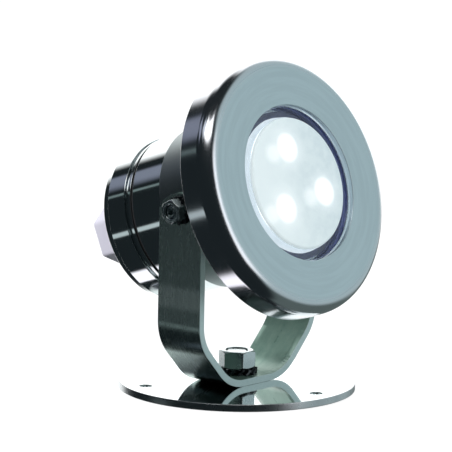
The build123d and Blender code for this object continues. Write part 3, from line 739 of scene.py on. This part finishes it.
def makePlate(shape):
    top = plateHigh.z
    outline = filleted([
        (shape["studHead"], 0, 0),
        (plateRadius, 0, shape["edge"]),
        (plateRadius, top, shape["edge"]),
        (shape["studHole"], top, 0),
        (shape["studHole"], shape["studHeadDepth"], 0),
        (shape["studHead"], shape["studHeadDepth"], 0)], 4)
    holes = []
    for number in range(fixings["count"]):
        angle = shape["firstHole"] + number * math.tau / fixings["count"]
        reach = fixings["pcd_mm"] / 2 * mm
        spot = Matrix.Translation((reach * math.cos(angle), reach * math.sin(angle), 0))
        radius = fixings["hole_r_mm"] * mm
        edge = shape["holeEdge"]
        wide = radius + edge + mm        # past the faces, so that the edge is cut at 45 degrees
        hole = filleted([(0, -mm, 0), (wide, -mm, 0), (radius, edge, 0),
                         (radius, top - edge, 0), (wide, top + mm, 0), (0, top + mm, 0)])
        holes.append(placed(turnedMesh(hole, 48, closed=False), spot))
    newPiece("base_disc", turnedMesh(outline, 240), "base", "polished_steel", ["base_plate"],
             "plate_steel", cutters=holes)


makePlate(plateShape)
print("base plate made")


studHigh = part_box("base_stud")[1]
nutLow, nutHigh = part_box("bracket_nut")
washerLow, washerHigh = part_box("bracket_lock_washer")
studShape = {"radius": 4 * mm, "pitch": 1.25 * mm, "depth": 0.62 * mm, "chamfer": 0.6 * mm,
             "head": 5.5 * mm, "headHeight": 1.6 * mm}
studNutShape = {"flats": 12 * mm, "turn": math.radians(0.5), "faceShare": 0.96,
                "bore": 4.02 * mm, "countersink": 0.45 * mm, "pitch": 1.25 * mm,
                "threadDepth": 0.5 * mm, "edge": 0.12 * mm}


def makeStud(shape):
    rod = threadMesh(shape["radius"], shape["depth"], shape["pitch"], shape["headHeight"],
                     studHigh.z, upright, shape["chamfer"])
    head = filleted([(0, 0, 0), (shape["head"], 0, smallEdge),
                     (shape["head"], shape["headHeight"], 0), (0, shape["headHeight"], 0)])
    newPiece("stud_with_thread", joined([rod, turnedMesh(head, 64, closed=False)]), "base",
             "fastener_steel", ["base_stud"])


makeStud(studShape)
newPiece("stud_nut", nutMesh(studNutShape, nutLow.z, nutHigh.z, upright), "base",
         "fastener_steel", ["bracket_nut"], edge=studNutShape["edge"])


def lockWasherMesh(shape, low, high, matrix):
    # a ring with teeth twisted out of its plane
    inset = shape["ringInset"] * (high - low)
    ringLow = low + inset
    ringHigh = high - inset
    root = shape["outer"] - shape["toothLength"]
    ring = filleted([(shape["bore"], ringLow, 0), (root, ringLow, 0), (root, ringHigh, 0),
                     (shape["bore"], ringHigh, 0)])
    parts = [turnedMesh(ring, 96)]
    toothStart = root - crispEdge        # inside the ring, so that they join
    steps = 4
    for number in range(shape["teeth"]):
        tooth = bmesh.new()
        loops = []
        for step in range(steps + 1):
            share = step / steps
            reach = toothStart + (shape["outer"] - root + crispEdge) * share
            lean = shape["twist"] * (shape["rootTwist"] + (1 - shape["rootTwist"]) * share)
            half = shape["toothWidth"] / 2
            thick = (ringHigh - ringLow) / 2
            loop = []
            for across, up in ((-half, -thick), (half, -thick), (half, thick), (-half, thick)):
                side = across * math.cos(lean) - up * math.sin(lean)
                rise = across * math.sin(lean) + up * math.cos(lean)
                rise = max(-(high - low) / 2, min((high - low) / 2, rise))
                bend = math.sqrt(max(0, reach * reach - side * side))
                loop.append(tooth.verts.new((bend, side, (low + high) / 2 + rise)))
            loops.append(loop)
        for first, second in zip(loops, loops[1:]):
            for corner in range(4):
                other = (corner + 1) % 4
                tooth.faces.new((first[corner], first[other], second[other], second[corner]))
        tooth.faces.new(loops[0][::-1])
        tooth.faces.new(loops[-1])
        spin = Matrix.Rotation(number * math.tau / shape["teeth"], 4, "Z")
        parts.append(placed(tooth, spin))
    return placed(joined(parts), matrix)


studWasherShape = {"bore": 4.1 * mm, "outer": washerHigh.x, "toothLength": 2.5 * mm,
                   "toothWidth": 2.9 * mm, "teeth": 14, "twist": math.radians(42),
                   "rootTwist": 0.55, "ringInset": 0.3}      # shares of the twist and of the height
newPiece("stud_lock_washer", lockWasherMesh(studWasherShape, washerLow.z, washerHigh.z, upright),
         "base", "spring_steel", ["bracket_lock_washer"], edge=fineEdge)
print("stud, nut and lock washer made")


barLow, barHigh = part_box("bracket")
barHalf = barHigh.y
barSteel("satin_steel", barLook)
barSteel("bracket_painted_light_inside", barPaintedLightLook)
barShape = {
    "thickness": 2.5 * mm,
    "footHalf": 15.5 * mm,       # to the lower bends, where the straight faces would meet
    "shoulder": 21.2 * mm,       # height of the upper bends
    "lowerBend": 18.5 * mm,      # outside radii
    "upperBend": 17.7 * mm,
    "endRadius": 11.0 * mm,
    "edge": 0.3 * mm,
    "studHole": 4.1 * mm,
    "pivotHole": 2.6 * mm,
    "inward": 0.9,               # how squarely a face must look inward to take the paler copy of the finish, whose paleness is painted light
}


def barPath(shape):
    # places along the outside of the bar with their outward directions
    outside = barHigh.x
    places = line((outside, barHigh.z), (outside, shape["shoulder"]),
                  (shape["footHalf"], barLow.z), (0, barLow.z))
    half = []
    for number, bend in enumerate((shape["upperBend"], shape["lowerBend"])):
        centre, spokes = roundCorner(*places[number:number + 3], bend, 20)
        half += [(centre + spoke, spoke.normalized()) for spoke in spokes]
    # the arm's round end, from its tip to where it reaches the bar's full width
    tip = shape["endRadius"]
    turns = [math.radians(angle) for angle in (0, 4, 9, 15, 22, 30, 38, 46, 54, 60)]
    turns.append(math.asin(barHalf / tip))
    arm = [(Vector((outside, barHigh.z - tip * (1 - math.cos(turn)))), Vector((1, 0)))
           for turn in turns]
    foot = [(Vector((0, barLow.z)), Vector((0, -1)))]
    return arm + half + foot


def makeBracket(shape):
    path = barPath(shape)
    mirrored = [(Vector((-spot.x, spot.y)), Vector((-out.x, out.y))) for spot, out in path[-2::-1]]
    endCentre = barHigh.z - shape["endRadius"]
    mesh = bmesh.new()
    across = 8
    rows = []
    for spot, outward in path + mirrored:
        rise = spot.y - endCentre
        half = barHalf
        if rise > 0:
            half = min(barHalf, math.sqrt(max(0, shape["endRadius"] ** 2 - rise ** 2)))
        inner = spot - outward * shape["thickness"]
        row = []
        for number in range(across + 1):
            row.append(mesh.verts.new((spot.x, half * (2 * number / across - 1), spot.y)))
        for number in range(across, -1, -1):
            row.append(mesh.verts.new((inner.x, half * (2 * number / across - 1), inner.y)))
        rows.append(row)
    for first, second in zip(rows, rows[1:]):
        for number in range(len(first)):
            other = (number + 1) % len(first)
            mesh.faces.new((first[number], first[other], second[other], second[number]))
    bmesh.ops.remove_doubles(mesh, verts=mesh.verts, dist=1e-6)
    bmesh.ops.holes_fill(mesh, edges=mesh.edges)
    stud = rodMesh(shape["studHole"], barLow.z - mm, barLow.z + 2 * shape["thickness"])
    holes = [rodMesh(shape["pivotHole"], barHigh.x - 2 * shape["thickness"], barHigh.x + mm, 48,
                     sideways(side)) for side in (-1, 1)]
    bar = newPiece("bracket_bar", mesh, "bracket", "satin_steel", ["bracket"],
                   cutters=[stud] + holes, edge=shape["edge"], sharp=40)
    # the inward faces take the paler copy: painted light
    bar.data.materials.append(finishes["bracket_painted_light_inside"])
    for polygon in bar.data.polygons:
        inward = polygon.normal.z - polygon.normal.x * math.copysign(1, polygon.center.x)
        polygon.material_index = 1 if inward > shape["inward"] else 0


makeBracket(barShape)
print("bracket made")


pivotPlane = sideways(1)
screwEnd = span("pivot_set_screws", pivotPlane)
nutEnd = span("pivot_nuts", pivotPlane)[1]
washerEnd = span("pivot_lock_washers", pivotPlane)[1]
pivotShape = {
    "radius": 2.5 * mm, "pitch": 0.8 * mm, "depth": 0.42 * mm, "chamfer": 0.55 * mm,
    "start": 22.25 * mm, "socket": 2.5 * mm, "socketDepth": 2.2 * mm,
    "nutHeight": 4.0 * mm, "washerHeight": 1.7 * mm,
}
pivotNutShape = {"flats": 8 * mm, "turn": 0, "faceShare": 0.95, "bore": 2.52 * mm,
                 "countersink": 0.3 * mm, "pitch": 0.8 * mm, "threadDepth": 0.3 * mm,
                 "edge": 0.16 * mm}
pivotWasherShape = {"bore": 2.6 * mm, "outer": span("pivot_lock_washers", pivotPlane)[2],
                    "toothLength": 2.0 * mm, "toothWidth": 2.5 * mm, "teeth": 10,
                    "twist": math.radians(38), "rootTwist": 0.55, "ringInset": 0.3}


def hexSocket(flats, depth, top, matrix):
    # the hexagon hole for a key, with its drill point at the bottom
    reach = hexReach(flats, 0)
    points = line((0, top - depth - flats * 0.25), (1, top - depth), (1, top + mm), (0, top + mm))
    return placed(turnedMesh(points, 24, closed=False,
                             stretch=lambda angle, radius, height:
                             (reach(angle) if radius == 1 else 0, height)), matrix)


def makePivots(shape):
    end = screwEnd[1]
    screws = joined([threadMesh(shape["radius"], shape["depth"], shape["pitch"], shape["start"],
                                end, sideways(side), shape["chamfer"]) for side in (-1, 1)])
    sockets = [hexSocket(shape["socket"], shape["socketDepth"], end, sideways(side))
               for side in (-1, 1)]
    newPiece("set_screws", screws, "head", "fastener_steel", ["pivot_set_screws"], cutters=sockets)
    nuts = [nutMesh(pivotNutShape, nutEnd - shape["nutHeight"], nutEnd, sideways(side))
            for side in (-1, 1)]
    newPiece("side_nuts", joined(nuts), "head", "fastener_steel", ["pivot_nuts"],
             edge=pivotNutShape["edge"])
    washers = [lockWasherMesh(pivotWasherShape, washerEnd - shape["washerHeight"], washerEnd,
                              sideways(side)) for side in (-1, 1)]
    newPiece("side_lock_washers", joined(washers), "head", "spring_steel", ["pivot_lock_washers"],
             edge=hairEdge)


makePivots(pivotShape)
print("pivots made")


bodyRear, bodyFront, bodyRadius = span("housing_body")
capRear, capInner, capRadius = span("rear_cap")
flangeFront, flangeRadius = span("housing_flange")[1:]
housingShape = {
    "barrelRadius": 29.6 * mm,
    "shoulderRear": -11.75 * mm,
    "bore": 27.4 * mm,
    "ledge": 6.0 * mm,
    "ledgeWidth": 1.2 * mm,
    "spigotFront": -14.0 * mm,
    "edge": 0.25 * mm,
    "spacerRadius": 6.1 * mm,
    "spacerSeat": 29.75 * mm,
}


def makeHousing(shape):
    bore = shape["bore"]
    inner = bore - shape["ledgeWidth"]
    barrel = shape["barrelRadius"]
    outline = filleted([
        (bore, bodyFront, 0),
        (bodyRadius, bodyFront, 0),
        (bodyRadius, shape["shoulderRear"], shape["edge"]),
        (barrel, shape["shoulderRear"], crispEdge),
        (barrel, bodyRear, shape["edge"]),
        (bore, bodyRear, 0),
        (bore, shape["spigotFront"], 0),
        (inner, shape["spigotFront"], 0),
        (inner, shape["ledge"], 0),
        (bore, shape["ledge"], 0)])
    seats = [rodMesh(shape["spacerRadius"], shape["spacerSeat"], bodyRadius + mm, 64, sideways(side))
             for side in (-1, 1)]
    newPiece("lamp_barrel", placed(turnedMesh(outline, 256), lamp), "head", "polished_steel",
             ["housing_body"], cutters=seats)


makeHousing(housingShape)

flangeShape = {"hub": 1.2 * mm, "hubHeight": 1.4 * mm, "thickness": 3.0 * mm, "edge": 0.3 * mm}


def makeFlange(shape):
    rear = flangeFront - shape["thickness"]
    hub = bodyRadius + shape["hub"]
    outline = filleted([
        (bodyRadius, flangeFront, 0),
        (flangeRadius, flangeFront, smallEdge),
        (flangeRadius, rear, shape["edge"]),
        (hub, rear, wideEdge),
        (hub, rear - shape["hubHeight"] * 0.4, softEdge),
        (bodyRadius, rear - shape["hubHeight"], 0)])
    newPiece("lamp_flange", placed(turnedMesh(outline, 224), lamp), "head", "polished_steel",
             ["housing_flange"])


makeFlange(flangeShape)

capShape = {
    "front": -30.15 * mm, "ribFront": -27.6 * mm, "ribRear": -28.9 * mm,
    "ribRadius": 29.2 * mm, "reliefRadius": 28.3 * mm, "spigotRadius": 27.3 * mm,
    "bore": 24.5 * mm, "floor": -38.2 * mm, "line": -38.5 * mm, "lineDepth": 0.28 * mm,
    "rearRadius": 28.7 * mm, "glandHole": 8.0 * mm, "edge": 0.6 * mm,
    "threadPitch": 1.0 * mm, "threadDepth": 0.5 * mm,
}


def makeCap(shape):
    spigot = shape["spigotRadius"]
    thread = [(spigot, capInner, softEdge)]
    turns = 9
    for number in range(turns):
        height = capInner - (number + 0.7) * shape["threadPitch"]
        thread.append((spigot - shape["threadDepth"], height, 0))
        thread.append((spigot, height - shape["threadPitch"] / 2, 0))
    outline = filleted([
        (shape["bore"], capInner, 0)] + thread + [
        (spigot, shape["ribFront"], 0),
        (shape["ribRadius"], shape["ribFront"], crispEdge),
        (shape["ribRadius"], shape["ribRear"], crispEdge),
        (shape["reliefRadius"], shape["ribRear"], smallEdge),
        (shape["reliefRadius"], shape["front"], smallEdge),
        (capRadius, shape["front"], softEdge),
        (capRadius, shape["line"], hairEdge),
        (capRadius - shape["lineDepth"], shape["line"] - shape["lineDepth"], hairEdge),
        (shape["rearRadius"], capRear, shape["edge"]),
        (shape["glandHole"], capRear, smallEdge),
        (shape["glandHole"], shape["floor"], 0),
        (shape["bore"], shape["floor"], roundEdge)])
    newPiece("lamp_rear_cap", placed(turnedMesh(outline, 256), lamp), "head", "polished_steel",
             ["rear_cap"])


makeCap(capShape)
print("housing, flange and cap made")


bezelRear, bezelFront, bezelRadius = span("bezel")
bezelShape = {
    "edge": 6.0 * mm, "wall": 2.0 * mm, "web": 3.0 * mm, "window": 28.7 * mm,
    "windowEdge": 0.3 * mm, "ringRear": 21.5 * mm, "glassRadius": 33.25 * mm,
    "lip": 0.5 * mm,
}


def makeBezel(shape):
    outline = filleted([
        (shape["window"], bezelFront, shape["windowEdge"]),
        (bezelRadius, bezelFront, shape["edge"]),
        (bezelRadius, bezelRear, shape["lip"]),
        (bezelRadius - shape["wall"], bezelRear, softEdge),
        (bezelRadius - shape["wall"], shape["ringRear"], roundEdge),
        (shape["glassRadius"], shape["ringRear"], 0),
        (shape["glassRadius"], bezelFront - shape["web"], smallEdge),
        (shape["window"], bezelFront - shape["web"], crispEdge)], 14)
    newPiece("bezel_ring", placed(turnedMesh(outline, 288), lamp), "head", "bezel_steel", ["bezel"])


makeBezel(bezelShape)

rimScrewShape = {"circle": 39.7 * mm, "count": 6, "turn": math.radians(30), "radius": 1.5 * mm,
                 "headRadius": 2.75 * mm, "headHeight": 1.7 * mm, "topShare": 0.72,
                 "socket": 2.0 * mm, "socketDepth": 1.0 * mm, "length": 8.8 * mm,
                 "pitch": 0.5 * mm, "threadDepth": 0.28 * mm, "chamfer": 0.2 * mm}


def makeRimScrews(shape):
    seat = flangeFront - flangeShape["thickness"]
    screws = []
    sockets = []
    for number in range(shape["count"]):
        angle = shape["turn"] + number * math.tau / shape["count"]
        spot = Matrix.Translation((shape["circle"] * math.cos(angle),
                                   shape["circle"] * math.sin(angle), seat))
        facing = lamp @ spot @ Matrix.Rotation(math.pi, 4, "X")
        head = filleted([(0, 0, 0), (shape["headRadius"], 0, crispEdge),
                         (shape["headRadius"], shape["headHeight"] * 0.5, wideEdge),
                         (shape["headRadius"] * shape["topShare"], shape["headHeight"], wideEdge),
                         (0, shape["headHeight"], 0)])
        screws.append(placed(turnedMesh(head, 48, closed=False), facing))
        screws.append(threadMesh(shape["radius"], shape["threadDepth"], shape["pitch"],
                                 -shape["length"], 0, facing, shape["chamfer"], 6, 24))
        sockets.append(hexSocket(shape["socket"], shape["socketDepth"], shape["headHeight"], facing))
    newPiece("rim_screws", joined(screws), "head", "fastener_steel", ["bezel_screws"],
             cutters=[joined(sockets)])


makeRimScrews(rimScrewShape)
print("bezel made")


glassRear, glassFront, glassRadius = span("front_glass")
glassShape = {
    "shoulder": 26.2 * mm, "stepRadius": 28.4 * mm, "step": 27.7 * mm,
    "faceRadius": 24.2 * mm, "crown": 0.35 * mm, "edge": 0.9 * mm, "root": 0.35 * mm,
    "crownCurve": ((0.8, 0.5), (0.5, 0.14), (0.25, 0.03), (0, 0)),    # shares of radius and crown
    "satinRise": 0.25 * mm, "satinReach": 0.05 * mm,    # how far past the step and face the satin goes
}


def makeGlass(shape):
    crown = shape["crown"]
    face = shape["faceRadius"]
    front = glassFront
    outline = filleted([
        (0, glassRear, 0),
        (glassRadius, glassRear, softEdge),
        (glassRadius, shape["shoulder"], softEdge),
        (shape["stepRadius"], shape["shoulder"], fineEdge),
        (shape["stepRadius"], shape["step"], softEdge),
        (face, shape["step"], shape["root"]),
        (face, front - crown, shape["edge"])] + [
        (face * reach, front - crown * drop, 0) for reach, drop in shape["crownCurve"]], 8)
    mesh = placed(turnedMesh(outline, 224, closed=False), lamp)
    glass = newPiece("glass", mesh, "head", "front_glass", ["front_glass"])
    glass.data.materials.append(finishes["satin_glass"])
    inside = lamp.inverted()
    for polygon in glass.data.polygons:
        centre = inside @ polygon.center
        raised = centre.z > shape["step"] + shape["satinRise"]
        middle = centre.xy.length < face + shape["satinReach"]
        polygon.material_index = 1 if raised and middle else 0


makeGlass(glassShape)
print("glass made")


glandNutRear, glandNutFront = span("gland_nut")[:2]
glandBodyRear, glandBodyFront = span("gland_body")[:2]
glandShape = {
    "flats": 22 * mm, "turn": math.radians(34.2), "cornerRadius": 12.45 * mm,
    "nutBore": 4.6 * mm, "nutSocket": 8.1 * mm,
    "socketDepth": 9.0 * mm, "edge": 1.0 * mm,
    "flangeFront": -42.7 * mm, "flangeRear": -47.2 * mm, "thread": 8.0 * mm,
    "bodyBore": 5.0 * mm, "bodySocket": 6.7 * mm, "socketFloor": -44.95 * mm,
}


def roundedHexagon(flats, turn, corner):
    reach = hexReach(flats, turn)
    return lambda angle: min(reach(angle), corner)


def makeGland(shape):
    # a radius of 1 stands for the hexagon's side, and 1 plus a little for that much less
    side = roundedHexagon(shape["flats"], shape["turn"], shape["cornerRadius"])
    edge = shape["edge"]

    def hexagon(angle, radius, height):
        if radius < 1:
            return radius, height
        return side(angle) - (radius - 1), height

    rear, front = glandNutRear, glandNutFront
    arc = [Vector((1 + edge * (1 - math.sin(turn)), rear + edge * (1 - math.cos(turn))))
           for turn in (0, 0.4, 0.8, 1.2, math.pi / 2)]
    bore, socket = shape["nutBore"], shape["nutSocket"]
    floor = front - shape["socketDepth"]
    nut = line((bore + wideEdge, rear), (0.75 * shape["flats"] / 2, rear)) + arc + line(
        (1, front - softEdge), (1 + softEdge, front), (socket, front), (socket, floor),
        (bore, floor), (bore, rear + wideEdge))
    newPiece("gland_cap_nut", placed(turnedMesh(nut, 144, stretch=hexagon), lamp), "head",
             "gland_plastic", ["gland_nut"])
    bore, socket, thread = shape["bodyBore"], shape["bodySocket"], shape["thread"]
    collarFront, collarRear = shape["flangeFront"], shape["flangeRear"]
    collar = line(
        (bore, glandBodyFront), (thread, glandBodyFront), (thread, collarFront),
        (1 + softEdge, collarFront), (1, collarFront - softEdge), (1, collarRear + softEdge),
        (1 + softEdge, collarRear), (thread, collarRear), (thread, glandBodyRear),
        (socket, glandBodyRear), (socket, shape["socketFloor"]), (bore, shape["socketFloor"]))
    newPiece("gland_base", placed(turnedMesh(collar, 144, stretch=hexagon), lamp), "head",
             "gland_plastic", ["gland_body"])


makeGland(glandShape)
print("gland made")


# Every CAD node that still shows takes the finish of its slot, but for the gaskets at the glass
slots = {part["node"]: part["material_slot"] for part in frame["record"]["subparts"]}
gasketFinishes = {"front_glass_gasket": "blue_silicone", "rear_glass_gasket": "blue_silicone"}
for node, piece in frame["nodes"].items():
    if piece.hide_render:
        continue
    for number in range(len(piece.material_slots)):
        piece.material_slots[number].material = finishes[gasketFinishes.get(node, slots[node])]


cameraLook = {
    "azimuth": math.radians(-49.7736), "elevation": math.radians(10.1792),
    "roll": math.radians(1.0898), "distance": 1.7, "lens": 370.84,
    "aside": -4.9097 * mm, "height": 59.833 * mm,
}


def makeCamera(look):
    around, up = look["azimuth"], look["elevation"]
    back = Vector((math.sin(around) * math.cos(up), -math.cos(around) * math.cos(up), math.sin(up)))
    right = Vector((math.cos(around), math.sin(around), 0))
    above = back.cross(right)
    target = right * look["aside"] + Vector((0, 0, look["height"]))
    tilt = Matrix((right, above, back)).transposed() @ Matrix.Rotation(look["roll"], 3, "Z")
    data = bpy.data.cameras.new("camera")
    data.lens = look["lens"]
    data.sensor_width = 36
    data.clip_end = 20
    camera = bpy.data.objects.new("camera", data)
    camera.matrix_world = Matrix.Translation(target + back * look["distance"]) @ tilt.to_4x4()
    bpy.context.scene.collection.objects.link(camera)
    bpy.context.scene.camera = camera


makeCamera(cameraLook)

# Softboxes: azimuth (0 is behind the lamp, 90 its right), elevation, half width, half height and
# soft edge in degrees, then colour and strength. Later ones lie over earlier ones.
softboxes = {
    "backdrop": (53, 10, 36, 46, 14, (1.0, 1.0, 1.0), 1.9),
    "low right": (112, -40, 50, 26, 16, (0.50, 0.64, 0.62), 0.26),
    "right wall": (128, 18, 34, 34, 14, (0.82, 0.96, 1.0), 0.68),
    "front strip": (172, 16, 6, 20, 9, (1.0, 0.97, 1.0), 1.7),
    "top left": (-120, 62, 42, 5, 5, (1.0, 0.99, 1.0), 2.8),
    "left middle": (-66, 56, 9, 3, 6, (0.86, 0.90, 1.0), 1.1),
    "lilac upper": (-37, 41, 9, 2, 6, (0.72, 0.78, 1.0), 0.6),
    "lilac lower": (-16, 28, 7, 2, 5, (0.72, 0.78, 1.0), 0.42),
    "low left": (-22, -66, 14, 5, 4, (0.98, 0.94, 1.0), 1.9),
    "side spot": (-50, -17, 6, 1.5, 1.4, (0.74, 0.84, 0.86), 0.95),
    "side line": (-32, 19, 4, 0.4, 0.7, (0.70, 0.90, 0.90), 0.4),
}
roomTone = rgb(0.016, 0.022, 0.025)


def makeWorld():
    world = bpy.data.worlds.new("studio")
    world.use_nodes = True
    bpy.context.scene.world = world
    paint = Paint(world.node_tree)
    x, y, z = paint.split(paint.node("ShaderNodeTexCoord", {}, {}, 0))
    degrees = 180 / math.pi
    azimuth = paint.sumOf("ARCTAN2", x, y) * degrees
    elevation = paint.sumOf("ARCSINE", z) * degrees
    light = roomTone
    for around, up, wide, high, soft, colour, strength in softboxes.values():
        aside = paint.sumOf("WRAP", azimuth - around, 180, -180)
        mask = paint.within(aside, wide, soft) * paint.within(elevation - up, high, soft)
        light = paint.blend(mask, light, tuple(strength * part for part in colour) + (1,))
    shine = paint.node("ShaderNodeBackground", {}, {"Color": light, "Strength": 1.0})
    paint.node("ShaderNodeOutputWorld", {}, {"Surface": shine})


makeWorld()


def stagePiece(name, mesh, look):
    # a plain glowing sheet that only the camera sees
    data = bpy.data.meshes.new(name)
    mesh.to_mesh(data)
    mesh.free()
    piece = bpy.data.objects.new(name, data)
    bpy.context.scene.collection.objects.link(piece)
    paint = finish(name)
    cloud = paint.noise(paint.place(), 0.8, 2)
    tone = paint.blend(cloud, rgb(1, 1, 1), rgb(0.985, 0.99, 0.99))
    paint.surface(Base_Color=rgb(*[look["diffuse"]] * 3), Roughness=1.0, Specular_IOR_Level=0.0,
                  Emission_Color=tone, Emission_Strength=look["strength"])
    data.materials.append(finishes[name])
    piece.visible_glossy = False
    piece.visible_transmission = False
    piece.visible_diffuse = False
    piece.visible_shadow = False


floorLook = {"radius": 3.9, "drop": 0.2 * mm, "strength": 0.86, "diffuse": 0.25}
backdropLook = {"radius": 4, "strength": 1.0, "diffuse": 0.0}
floorLine = [Vector((radius, -floorLook["drop"])) for radius in (0, floorLook["radius"])]
stagePiece("floor", turnedMesh(floorLine, 96, closed=False), floorLook)
domeArc = [backdropLook["radius"] * Vector((math.cos(turn), math.sin(turn)))
           for turn in [math.radians(angle) for angle in range(-90, 91, 6)]]
stagePiece("backdrop", turnedMesh(domeArc, 96, closed=False), backdropLook)

# Soft lamps for what isn't metal
lampLooks = {
    "soft key": {"place": (-0.5, -0.9, 1.3), "size": 0.7, "power": 9.0},
    "soft fill": {"place": (-1.2, 0.7, 0.5), "size": 0.8, "power": 24.0},
}


def makeLight(name, place, size, power):
    data = bpy.data.lights.new(name, "AREA")
    data.size = size
    data.energy = power
    light = bpy.data.objects.new(name, data)
    light.location = place
    aim = Vector(place) - Vector((0, 0, cadBox[1].z / 2))
    light.rotation_mode = "QUATERNION"
    light.rotation_quaternion = aim.to_track_quat("Z", "Y")
    light.visible_glossy = False
    bpy.context.scene.collection.objects.link(light)


for name, look in lampLooks.items():
    makeLight(name, **look)
bpy.context.scene.view_settings.view_transform = "Standard"
print("studio ready")
